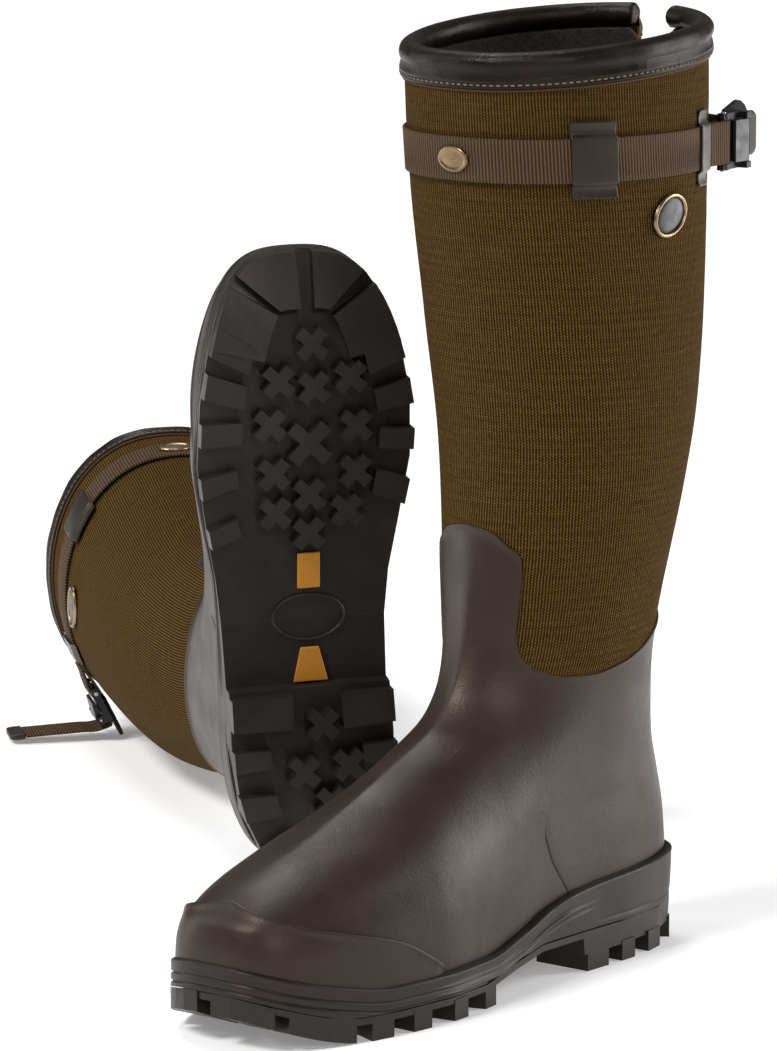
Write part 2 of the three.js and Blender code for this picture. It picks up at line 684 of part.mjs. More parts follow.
// Webbing folded around the buckle pin.
function strapEnd() {
  const reach = pinHole + STRAP_WALL;
  const nose = [-70, -35, 0, 35, 70].map((a) => new THREE.Vector2(
    PIN_PLACE + reach * Math.cos(radians(a)),
    reach * Math.sin(radians(a)),
  ));
  const start = FOLD_GAP - strapLead;
  const root = [-STRAP_WALL, STRAP_WALL].map((y) => new THREE.Vector2(start, y));
  const points = [root[0], ...nose, root[1]];
  return upright(points, STRAP_WIDTH, circle(PIN_PLACE, 0, pinHole));
}

// A plate cut out around the folded webbing, with an ear on the pin above and below it.
function buckleFrame() {
  const [a, b] = [STRAP_WIDTH / 2 + RUNNING_GAP, FRAME_HEIGHT / 2];
  const inner = PIN_PLACE + pinHole + STRAP_WALL + 2 * RUNNING_GAP;
  const corners = [[frameStart, -b], [frameEnd, -b], [frameEnd, b], [frameStart, b],
    [frameStart, a], [inner, a], [inner, -a], [frameStart, -a]];
  const body = plate(corners.map(([x, z]) => new THREE.Vector2(x, z)), FRAME_WALL)
    .rotateX(Math.PI / 2)
    .translate(0, frameFace, 0);
  const ears = [-1, 1].map((s) => {
    const height = b - a;
    const ring = upright(circle(PIN_PLACE, 0, pinHole + EYE_WALL), height);
    return toSolid(ring.translate(0, 0, s * (a + height / 2)));
  });
  const postMiddle = knuckle + (POST_HEIGHT + 2) / 2;
  const [west, east] = [leverPinX - POST_HALF_WIDTH, leverPinX + POST_HALF_WIDTH];
  const [root, tip] = [-frameFace + 0.5, leverPinY - leverPinHole - 0.8];
  const plan = [[west, root], [west, tip], [east, tip], [east, root]];
  const posts = [-1, 1].map((s) => toSolid(
    upright(plan.map(([x, y]) => new THREE.Vector2(x, y)), POST_HEIGHT)
      .translate(0, 0, s * postMiddle),
  ));
  const bores = [
    toSolid(rod(PIN_PLACE, 0, pinHole, FRAME_HEIGHT + 2)),
    toSolid(rod(leverPinX, leverPinY, leverPinHole, FRAME_HEIGHT + 2)),
  ];
  const joined = wasm.Manifold.union([toSolid(body), ...ears, ...posts]);
  return toGeometry(bores.reduce((solid, bore) => solid.subtract(bore), joined));
}

// A cam lever that lies on the frame's outer face and turns on its pin.
function buckleLever() {
  const half = knuckle + 1 - RUNNING_GAP;
  const near = -frameFace - RUNNING_GAP;
  const far = near - LEVER_WALL;
  const tip = PIN_PLACE + LEVER_LENGTH_SPARE;
  const nose = [-90, -30, 30, 80].map((a) => new THREE.Vector2(
    leverPinX + (leverPinHole + LEVER_EYE_WALL) * Math.cos(radians(a)),
    leverPinY + (leverPinHole + LEVER_EYE_WALL) * Math.sin(radians(a)),
  ));
  const points = [new THREE.Vector2(tip, near - 0.6), new THREE.Vector2(tip, far - 0.6), ...nose];
  return upright(points, 2 * half, circle(leverPinX, leverPinY, leverPinHole));
}

// A rounded pull tab behind the frame.
function pullTab() {
  const arc = Array.from({ length: 9 }, (_, i) => radians(-70 + i * 20));
  const rounded = arc.map((a) => new THREE.Vector2(
    TAB_CENTRE[0] + TAB_RADII[0] * Math.cos(a),
    TAB_CENTRE[1] + TAB_RADII[1] * Math.sin(a),
  ));
  const points = [new THREE.Vector2(TAB_START, -7), ...rounded, new THREE.Vector2(TAB_START, 14)];
  return plate(points, TAB_WALL).rotateX(Math.PI / 2).translate(0, stack + TAB_WALL, 0);
}

// A ribbon of webbing standing on edge along a plan path, with its two faces either side.
function ribbon(path, width, thickness) {
  const side = (i, sign) => {
    const before = path[Math.max(i - 1, 0)];
    const after = path[Math.min(i + 1, path.length - 1)];
    const along = new THREE.Vector2().subVectors(after, before).normalize();
    return new THREE.Vector2(-along.y, along.x).multiplyScalar(sign * thickness / 2).add(path[i]);
  };
  const row = (sign, z) => path.map((_, i) => {
    const p = side(i, sign);
    return new THREE.Vector3(p.x, p.y, z);
  });
  const sheet = (sign) => [row(sign, -width / 2), row(sign, width / 2)];
  return wall(sheet(-1), sheet(1), false);
}

// ---- Materials ----

function material(color, roughness, metalness = 0) {
  return new THREE.MeshStandardMaterial({ color, roughness, metalness });
}

const treadRubber = material(0x1b1a19, 0.75);
const randRubber = material(0x2e2926, 0.6);
const shellRubber = material(0x33291f, 0.5);
const orangeRubber = material(0xb67723, 0.6);
const foam = material(0x3a3835, 0.9);
const board = material(0x8d7d63, 0.9);
const steel = material(0x9a9a9a, 0.35, 1);
const weave = material(0x6b5230, 0.95);
const darkKnit = material(0x1d1a19, 0.95);
const leather = material(0x29211f, 0.45);
const webbing = material(0x6f543e, 0.85);
const darkLeather = material(0x352e2d, 0.6);
const blackPlastic = material(0x17130f, 0.5);
const brass = material(0xa8732c, 0.35, 1);
const badgeFace = material(0x3c3936, 0.4, 0.6);

// ---- Assembly ----

function boot(side, stance) {
  const group = new THREE.Group();
  const name = (part) => `${side}_${part}`;
  const add = (part, geometry, look, parent = group) => {
    const mesh = new THREE.Mesh(geometry, look);
    mesh.name = name(part);
    parent.add(mesh);
    return mesh;
  };

  add('outsole', outsole(), treadRubber);
  add('sole_insert_front', soleInsert(...FRONT_INSERT), orangeRubber);
  add('sole_insert_rear', soleInsert(...REAR_INSERT), orangeRubber);
  add('midsole', midsole(), foam);
  add('rand', rand(), randRubber);
  add('shank_plate', shankPlate(), steel);
  add('insole_board', insoleBoard(), board);
  add('footbed', footbed(), foam);
  add('foot_shell', footShell(), shellRubber);
  add('toe_cap', toeCap(), shellRubber);
  add('heel_counter', heelCounter(), shellRubber);
  add('lining', lining(), darkKnit);
  add('shaft', shaft(), weave);
  add('back_gusset', backGusset(), darkKnit);
  add('collar', collar(), leather);
  add('strap_band', strapBand(stance.strapEnd), webbing);
  add('side_loop', beltLoop(SIDE_LOOP_ANGLE, SIDE_LOOP_WIDTH), darkLeather);
  add('back_loop', beltLoop(BACK_LOOP_ANGLE, BACK_LOOP_WIDTH), darkLeather);

  const onStrap = 2 * CLEARANCE + STRAP_WALL;
  const strapBadge = plate(oval(STRAP_BADGE), STRAP_BADGE_WALL);
  onSkin(add('strap_badge', strapBadge, brass), 180, strapHeight, onStrap);
  const inset = (amount) => SHAFT_BADGE.map((half) => half - amount);
  const rim = plate(oval(SHAFT_BADGE), BADGE_RIM_WALL, oval(inset(BADGE_RIM)));
  const face = plate(oval(inset(BADGE_RIM + RUNNING_GAP)), BADGE_FACE_WALL);
  const badgePlace = [BADGE_ANGLE, strapHeight - BADGE_DROP, -BADGE_SINK, BADGE_TILT];
  onSkin(add('shaft_badge_rim', rim, brass), ...badgePlace);
  onSkin(add('shaft_badge_face', face, badgeFace), ...badgePlace);

  const buckle = new THREE.Group();
  const start = skin(BUCKLE_ANGLE, strapHeight, 2.4);
  const next = skin(BUCKLE_ANGLE - 1, strapHeight, 2.4);
  const heading = Math.atan2(next.y - start.y, next.x - start.x);
  buckle.position.copy(start);
  buckle.rotation.z = heading - radians(stance.buckleSwing);
  group.add(buckle);
  add('strap_end', strapEnd(), webbing, buckle);
  add('buckle_pin', rod(PIN_PLACE, 0, PIN_RADIUS, FRAME_HEIGHT + 1.5), steel, buckle);
  add('buckle_frame', buckleFrame(), blackPlastic, buckle);
  add('lever_pin', rod(leverPinX, leverPinY, LEVER_PIN_RADIUS, FRAME_HEIGHT - 1), steel, buckle);
  add('buckle_lever', buckleLever(), blackPlastic, buckle);
  add('pull_tab', pullTab(), blackPlastic, buckle);

  // The strap's free end: in the buckle's frame, after any lead from the back of the shaft.
  buckle.updateMatrix();
  const toBuckle = buckle.matrix.clone().invert();
  const lead = stance.lead.map(([angle, offset]) => {
    const p = skin(angle, strapHeight, offset).applyMatrix4(toBuckle);
    return new THREE.Vector2(p.x, p.y);
  });
  const tail = [...lead, ...stance.tail];
  add('strap_tail', ribbon(tail, STRAP_WIDTH, STRAP_WALL), webbing, buckle);
  add('tail_tip', ribbon(stance.tip, STRAP_WIDTH + 0.6, 2 * STRAP_WALL), darkLeather, buckle);
  return group;
}

// How each boot's strap ends. A lead is [angle, offset] around the shaft; the tail and its tip
// are plan points in the buckle's frame.
const inPlan = (list) => list.map(([x, y]) => new THREE.Vector2(x, y));

const standing = {
  strapEnd: 368,
  buckleSwing: 18,
  lead: [[8.5, 1.2], [14, 2.4]],
  tail: inPlan([[28, 5.4], [40, 5.6], [50, 6.2]]),
  tip: inPlan([[50.4, 6.2], [58, 6.6]]),
};

const lying = {
  strapEnd: 372,
  buckleSwing: 5,
  lead: [],
  tail: inPlan([[30.4, 0.8], [32.5, -0.9], [31.7, -7], [27.7, -16.2], [20.5, -32.7], [15.7, -43.8]]),
  tip: inPlan([[15.5, -44.3], [12.4, -51.6]]),
};

const left = boot('left', standing);

// The right boot lies on its back, its sole facing forward and its shaft leading away.
const right = new THREE.Group();
const mirrorImage = boot('right', lying);
mirrorImage.scale.x = -1;
right.add(mirrorImage);
const soleTurn = radians(52);
const heelDown = new THREE.Vector3(0, 0, -1);
const legLine = new THREE.Vector3(-Math.sin(soleTurn), Math.cos(soleTurn), 0);
const across = heelDown.clone().cross(legLine);
right.quaternion.setFromRotationMatrix(new THREE.Matrix4().makeBasis(across, heelDown, legLine));
right.rotateX(radians(2.1));
right.rotateZ(radians(-2.3));
right.position.set(-157, 92, 0);
right.updateMatrixWorld(true);
right.position.z = -new THREE.Box3().setFromObject(right, true).min.z;

const pair = new THREE.Group();
pair.add(left, right);
pair.updateMatrixWorld(true);
const box = new THREE.Box3().setFromObject(pair, true);
const centre = box.getCenter(new THREE.Vector3());
pair.position.set(-centre.x, -centre.y, -box.min.z);
pair.updateMatrixWorld(true);

export default pair;
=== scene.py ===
"""A pair of insulated hunting boots, dressed around its CAD frame.

The left boot stands and the right one, its mirror image, lies on its back. Shapes are made in a
boot's own frame, in millimetres: toe towards -Y, heel towards +Y, lateral side towards +X, the
ground at Z = 0, and angles in degrees round the leg from the heel (0) over the lateral side (90)
to the toe (180). Each piece is then put where the CAD has that boot, in metres.
"""
import json
import math

import bmesh
import bpy
import numpy as np
from mathutils import Matrix, Vector


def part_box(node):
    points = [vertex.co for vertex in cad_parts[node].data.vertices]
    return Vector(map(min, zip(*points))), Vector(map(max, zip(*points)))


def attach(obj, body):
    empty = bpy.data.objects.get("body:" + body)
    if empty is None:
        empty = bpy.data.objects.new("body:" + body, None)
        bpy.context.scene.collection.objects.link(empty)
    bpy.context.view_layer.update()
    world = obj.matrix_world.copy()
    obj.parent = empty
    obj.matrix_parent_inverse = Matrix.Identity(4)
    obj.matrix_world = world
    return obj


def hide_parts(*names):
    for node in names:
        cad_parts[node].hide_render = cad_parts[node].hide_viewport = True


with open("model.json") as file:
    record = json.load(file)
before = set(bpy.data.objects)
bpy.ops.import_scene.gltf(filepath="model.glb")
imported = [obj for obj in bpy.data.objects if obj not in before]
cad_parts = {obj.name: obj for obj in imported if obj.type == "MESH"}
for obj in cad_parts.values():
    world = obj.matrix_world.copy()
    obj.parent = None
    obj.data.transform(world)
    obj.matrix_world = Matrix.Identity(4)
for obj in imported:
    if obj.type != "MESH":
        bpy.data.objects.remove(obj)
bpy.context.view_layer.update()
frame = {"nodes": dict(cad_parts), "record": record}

SIDES = ("left", "right")

# ---- The boot's form, as in its CAD ----

STRAP_HEIGHT = 377.0
STRAP_HALF = 10
SHAFT_TOP = 414.0
EAR_RISE = 11.0
NOTCH_BOTTOM = 345.0
NOTCH_HALF = 9.5        # degrees each side of the heel line
GUSSET_TOP = 405.0
SOLE_LEVEL = 24.0       # where places along the foot are measured
SHELL_DROP = 6          # how far the shell reaches below the feather line
SHELL_MIDDLE = 187      # degrees: the shell's edge is alike on both sides of this line
CAP_START, CAP_END = 110, 250
COUNTER_TOP = 122.0
COUNTER_REACH = 75      # degrees, about where the counter ends at the sole


def curve(points):
    """A monotone cubic through points sorted by their first value."""
    x = np.array([p[0] for p in points], float)
    y = np.array([p[1] for p in points], float)
    h = np.diff(x)
    slope = np.diff(y) / h
    tangent = np.zeros(len(x))
    tangent[0], tangent[-1] = slope[0], slope[-1]
    for i in range(1, len(x) - 1):
        if slope[i - 1] * slope[i] > 0:
            w1, w2 = 2 * h[i] + h[i - 1], h[i] + 2 * h[i - 1]
            tangent[i] = (w1 + w2) / (w1 / slope[i - 1] + w2 / slope[i])

    def value(v):
        v = np.clip(np.asarray(v, float), x[0], x[-1])
        i = np.clip(np.searchsorted(x, v) - 1, 0, len(h) - 1)
        t = (v - x[i]) / h[i]
        s = 1 - t
        return (y[i] * (1 + 2 * t) * s * s + h[i] * tangent[i] * t * s * s
                + y[i + 1] * t * t * (3 - 2 * t) + h[i] * tangent[i + 1] * t * t * (t - 1))
    return value


# FRONT, BACK, LEG and TOE_FULLNESS were fitted by least squares to outline points picked from
# the photograph. SHELL_EDGE comes from points picked on it. Both were rounded and partly adjusted.
FRONT = curve([(8, -157), (40, -157), (52, -155), (64, -141), (75, -117), (84, -90), (94, -64),
               (105, -38), (118, -9), (134, 6), (154, 14), (178, 19), (205, 23), (240, 25),
               (300, 19), (360, 10), (437, 3)])
BACK = curve([(8, 138), (44, 142), (70, 141), (100, 136), (130, 134), (160, 137), (190, 142),
              (220, 148), (260, 154), (300, 156), (437, 158)])
LEG = curve([(8, 34), (90, 33), (130, 38), (170, 45.5), (210, 52), (260, 58), (300, 61),
             (360, 63), (437, 64)])
LATERAL = curve([(-165, 47), (-130, 49), (-90, 51), (-60, 50.5), (-30, 46), (0, 41), (30, 39),
                 (60, 40), (90, 43), (110, 44), (140, 44)])
MEDIAL = curve([(-165, 52), (-130, 53), (-90, 53), (-60, 49), (-30, 41), (0, 35.5), (30, 34),
                (60, 36.5), (90, 41), (110, 43), (140, 44)])
FOOT_SHARE = curve([(8, 1), (44, 1), (70, .85), (100, .6), (130, .35), (160, .12), (190, 0),
                    (425, 0)])
TOE_FULLNESS = curve([(8, .5), (40, .54), (60, .7), (80, 1.3), (100, 1.45), (130, 1.4),
                      (170, 1.18), (210, 1.0), (437, .85)])
HEEL_FULLNESS = curve([(8, .5), (60, .55), (100, .7), (150, .9), (190, 1.0), (425, 1.0)])
SHELL_EDGE = curve([(0, 208), (14, 206), (28, 199), (34, 195), (38, 180), (41, 160), (46, 150),
                    (52, 145), (59, 142), (71, 139), (86, 138), (101, 140), (117, 144),
                    (139, 152), (187, 166)])
TOE_CAP_EDGE = curve([(110, 26), (123, 42), (137, 49), (158, 56), (180, 62)])
FEATHER = curve([(-165, 41), (-145, 33), (-122, 27), (-92, 22.5), (-24, 22.5), (5, 28), (27, 35),
                 (47, 39), (71, 41), (140, 44)])


def section(angle, z):
    turn = np.radians(angle)
    c, s = np.cos(turn), np.sin(turn)
    front, back = FRONT(z), BACK(z)
    y = (back + front) / 2 + (back - front) / 2 * c
    foot = FOOT_SHARE(z)
    width = np.where(s >= 0, LATERAL(y), MEDIAL(y)) * foot + LEG(z) * (1 - foot)
    toe = (1 - c) / 2
    power = HEEL_FULLNESS(z) * (1 - toe) + TOE_FULLNESS(z) * toe
    x = s * ((s * s + 0.01) / 1.01) ** ((power - 1) / 2) * width
    return x, y


def skin(angle, z, out=0.0):
    """Points on the upper's skin, moved out along its normal."""
    angle, z, out = np.broadcast_arrays(
        np.asarray(angle, float), np.asarray(z, float), np.asarray(out, float))
    x, y = section(angle, z)
    xa, ya = section(angle - 0.05, z)
    xb, yb = section(angle + 0.05, z)
    xc, yc = section(angle, z - 0.25)
    xd, yd = section(angle, z + 0.25)
    along = np.stack([xb - xa, yb - ya, 0 * xa], -1)
    up = np.stack([xd - xc, yd - yc, 0 * xc + 0.5], -1)
    normal = np.cross(up, along)
    normal /= np.linalg.norm(normal, axis=-1, keepdims=True)
    return np.stack([x, y, z], -1) + normal * out[..., None]


def foot_y(angle):
    return section(np.asarray(angle, float), SOLE_LEVEL)[1]


def ground(y):
    return 17 * (np.maximum(0, -110 - y) / 55) ** 1.6


def waist(y):
    start, full = foot_y(97.5), foot_y(79.0)
    return np.clip((y - start) / (full - start), 0, 1)


def plate_top(y):
    return ground(y) + 11 + 8 * waist(y)


def plate_bottom(y):
    return np.where(y >= 53, 8.0, ground(y) + 8 + 8 * waist(y))


def shell_edge(angle):
    return SHELL_EDGE(np.abs(angle - SHELL_MIDDLE))


def top_edge(angle):
    return SHAFT_TOP + EAR_RISE * (1 + np.cos(np.radians(angle))) / 2


def girth_table():
    """Distance round the leg from the toe line, for each degree and every fourth millimetre."""
    angles, heights = np.arange(-30, 391.0), np.arange(0, 445.0, 4)
    points = skin(angles[:, None], heights[None, :])
    steps = np.linalg.norm(np.diff(points, axis=0), axis=-1)
    walked = np.vstack([np.zeros((1, len(heights))), np.cumsum(steps, axis=0)])
    return walked - walked[210]


GIRTH = girth_table()


def girth(angle, z):
    a = np.clip(np.asarray(angle, float) + 30, 0, GIRTH.shape[0] - 1.001)
    b = np.clip(np.asarray(z, float) / 4, 0, GIRTH.shape[1] - 1.001)
    i, j = a.astype(int), b.astype(int)
    s, t = a - i, b - j
    low = GIRTH[i, j] * (1 - s) + GIRTH[i + 1, j] * s
    high = GIRTH[i, j + 1] * (1 - s) + GIRTH[i + 1, j + 1] * s
    return low * (1 - t) + high * t


def ripple(a, b, seed):
    """A smooth low wave over two coordinates, between about -1 and 1."""
    draw = np.random.default_rng(seed)
    total = 0
    for _ in range(6):
        fa, fb = draw.uniform(-1, 1, 2)
        total = total + np.sin(a * fa + b * fb + draw.uniform(0, 2 * np.pi))
    return total / 3


# ---- From a boot's frame to the row's ----

HEEL_TREAD = next(m for m in frame["record"]["mounts"] if m["name"] == "left_heel_tread")
SHIFT = np.array(HEEL_TREAD["pos_m"]) * 1000 - (26, 61, 0)


def lying_turn():
    """The lying boot's turn, fitted with the camera; its lean was then adjusted."""
    turn = math.radians(52)
    heel = Vector((0, 0, -1))
    leg = Vector((-math.sin(turn), math.cos(turn), 0))
    across = heel.cross(leg)
    basis = Matrix((across, heel, leg)).transposed()
    lean = Matrix.Rotation(math.radians(2.1), 3, "X") @ Matrix.Rotation(math.radians(-2.3), 3, "Z")
    return np.array(basis @ lean) @ np.diag([-1, 1, 1])


def node_points(node):
    mesh = frame["nodes"][node].data
    flat = np.empty(len(mesh.vertices) * 3, np.float32)
    mesh.vertices.foreach_get("co", flat)
    return flat.reshape(-1, 3).astype(float) * 1000


TURN = {"left": np.eye(3), "right": lying_turn()}
_sole = node_points("left_outsole") - SHIFT
_low = np.array(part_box("right_outsole")[0]) * 1000
PLACE = {"left": SHIFT, "right": _low - (_sole @ TURN["right"].T).min(0)}


def to_row(points, side):
    return (points @ TURN[side].T + PLACE[side]) / 1000


def to_boot(points, side):
    return (points * 1000 - PLACE[side]) @ np.linalg.inv(TURN[side]).T


# ---- Meshes ----

def facing_out(points, faces):
    """True if the quads' normals point out of what they enclose."""
    p = points - points.mean(0)
    a, b, c, d = (p[faces[:, k]] for k in range(4))
    whole = np.einsum("ij,ij->i", a, np.cross(b, c)) + np.einsum("ij,ij->i", a, np.cross(c, d))
    return whole.sum() > 0


def new_object(name, side, points, faces, caps=(), uv=None):
    """A mesh object of a boot's points. uv holds four pairs for each face, in millimetres."""
    placed = to_row(points, side)
    flipped = not facing_out(placed, faces)
    if flipped:
        faces = faces[:, ::-1]
        uv = uv[:, ::-1] if uv is not None else None
    caps = [list(reversed(c)) if flipped else list(c) for c in caps]
    mesh = bpy.data.meshes.new(name)
    mesh.from_pydata(placed.tolist(), [], faces.tolist() + caps)
    if uv is not None:
        layer = mesh.uv_layers.new(name="UVMap")
        spare = sum(len(c) for c in caps)
        flat = np.concatenate([uv.reshape(-1, 2), np.zeros((spare, 2))])
        layer.data.foreach_set("uv", flat.astype(np.float32).ravel())
    mesh.polygons.foreach_set("use_smooth", np.ones(len(mesh.polygons), bool))
    mesh.update()
    obj = bpy.data.objects.new(name, mesh)
    bpy.context.scene.collection.objects.link(obj)
    return obj


def swept(name, side, columns, ring=False, uv=None):
    """A closed body from closed loops of points, columns[i, k], with each loop joined to the next.
    uv[i, k] has one more loop than columns on a ring."""
    count, size, _ = columns.shape
    i = np.arange(count if ring else count - 1)[:, None]
    k = np.arange(size)[None, :]
    j, m = (i + 1) % count, (k + 1) % size
    i, j = i + 0 * k, j + 0 * k
    k, m = k + 0 * i, m + 0 * i
    faces = np.stack([i * size + k, j * size + k, j * size + m, i * size + m], -1).reshape(-1, 4)
    corners = None
    if uv is not None:
        after = i + 1
        corners = np.stack([uv[i, k], uv[after, k], uv[after, m], uv[i, m]], 2).reshape(-1, 4, 2)
    caps = []
    if not ring:
        caps = [list(range(size)), [(count - 1) * size + n for n in reversed(range(size))]]
    return new_object(name, side, columns.reshape(-1, 3), faces, caps, corners)


def wall_section(low, high, out, inner, rows, inner_rows=6, edge=None, lip=None):
    """Heights and offsets of a wall's closed section: up the outer face, over a rounded edge,
    down the inner face and round the lower edge. low and high hold one value per column, and lip
    adds to the outer offset at (height, distance below the upper edge)."""
    low, high = np.atleast_1d(low).astype(float), np.atleast_1d(high).astype(float)
    edge = min((out - inner) / 2, 1.2) if edge is None else edge
    arc = np.radians([0, 22, 45, 68, 90])
    t = np.linspace(0, 1, rows)
    span_low, span_high = low + edge, high - edge
    zo = span_low[:, None] + (span_high - span_low)[:, None] * t
    do = np.full_like(zo, out)
    if lip is not None:
        do = do + lip(zo, high[:, None] - zo)
    at_top = do[:, -1:]
    zt = span_high[:, None] + edge * np.sin(arc[1:])
    dt = at_top - edge + edge * np.cos(arc[1:])
    zu = span_high[:, None] + edge * np.cos(arc[:-1])
    du = inner + edge - edge * np.sin(arc[:-1]) + 0 * zu
    zi = span_high[:, None] + (span_low - span_high)[:, None] * np.linspace(0, 1, inner_rows)
    di = np.full_like(zi, inner)
    zl = span_low[:, None] - edge * np.sin(arc[1:])
    dl = inner + edge - edge * np.cos(arc[1:]) + 0 * zl
    zm = span_low[:, None] - edge * np.cos(arc[:-1])
    dm = do[:, :1] - edge + edge * np.sin(arc[:-1])
    return np.hstack([zo, zt, zu, zi, zl, zm]), np.hstack([do, dt, du, di, dl, dm])


def skin_wall(name, side, angles, heights, offsets, ring=False, cloth=True):
    """A wall on the skin, mapped by distance round the leg and by height."""
    angles = np.asarray(angles, float)
    spread = angles[:, None] if angles.ndim == 1 else angles
    spread = spread + 0 * heights
    columns = skin(spread, heights, offsets)
    uv = None
    if cloth:
        u, v = girth(spread, heights), heights
        if ring:
            last = girth(spread[:1] + 360, heights[:1])
            u, v = np.vstack([u, last]), np.vstack([v, heights[:1]])
        uv = np.stack([u, v], -1)
        uv = np.concatenate([uv, uv[:, :1]], 1)
    return swept(name, side, columns, ring, uv)


def ring_angles(count):
    return np.arange(count) * 360 / count


def ribbon(name, side, path, width, thickness, place, step=0.4, round_end=False):
    """A flat strap on edge along a plan path in the buckle's frame."""
    path = smooth_path(path, step)
    along = np.gradient(path, axis=0)
    along /= np.linalg.norm(along, axis=1, keepdims=True)
    side_way = np.stack([-along[:, 1], along[:, 0]], -1)
    walked = np.concatenate([[0], np.cumsum(np.linalg.norm(np.diff(path, axis=0), axis=1))])
    half, t, r = width / 2, thickness / 2, min(thickness / 2, 0.6)
    across = np.array([-half, -half + r, -half + 2, 0, half - 2, half - r, half])
    face = np.array([t - r, t, t, t, t, t, t - r])
    section_z = np.concatenate([across, across[::-1]])
    section_d = np.concatenate([face, -face])
    narrow = np.ones(len(path))
    if round_end:
        left = walked[-1] - walked
        narrow = np.where(left < 4, np.sqrt(np.clip(1 - ((4 - left) / 4.2) ** 2, 0, 1)) * .45 + .55, 1)
    columns = np.empty((len(path), len(section_z), 3))
    columns[..., :2] = path[:, None] + side_way[:, None] * section_d[None, :, None]
    columns[..., 2] = section_z[None, :] * narrow[:, None]
    uv = np.stack([walked[:, None] + 0 * columns[..., 2], columns[..., 2]], -1)
    uv = np.concatenate([uv, uv[:, :1]], 1)
    return swept(name, side, place(columns), uv=uv)


def smooth_path(points, step):
    points = np.asarray(points, float)
    chord = np.concatenate([[0], np.cumsum(np.linalg.norm(np.diff(points, axis=0), axis=1))])
    count = max(4, int(chord[-1] / step))
    t = np.linspace(0, chord[-1], count)
    lines = [curve(list(zip(chord, points[:, k])))(t) for k in range(points.shape[1])]
    return np.stack(lines, -1)


def cad_copy(name, node, bevel=0.4, angle=32, segments=2):
    """A bevelled copy of a CAD node, as a new object."""
    mesh = frame["nodes"][node].data.copy()
    mesh.name = name
    bm = bmesh.new()
    bm.from_mesh(mesh)
    bmesh.ops.remove_doubles(bm, verts=bm.verts, dist=2e-5)
    bmesh.ops.dissolve_limit(bm, angle_limit=math.radians(1.2), verts=bm.verts, edges=bm.edges)
    bm.to_mesh(mesh)
    bm.free()
    mesh.materials.clear()
    mesh.polygons.foreach_set("use_smooth", np.ones(len(mesh.polygons), bool))
    mesh.set_sharp_from_angle(angle=math.radians(angle))
    obj = bpy.data.objects.new(name, mesh)
    bpy.context.scene.collection.objects.link(obj)
    if bevel:
        round_off = obj.modifiers.new("Round", "BEVEL")
        round_off.width = bevel / 1000
        round_off.segments = segments
        round_off.limit_method = "ANGLE"
        round_off.angle_limit = math.radians(angle)
        round_off.harden_normals = False
        weights = obj.modifiers.new("Weights", "WEIGHTED_NORMAL")
        weights.keep_sharp = True
    return obj


# ---- Materials ----

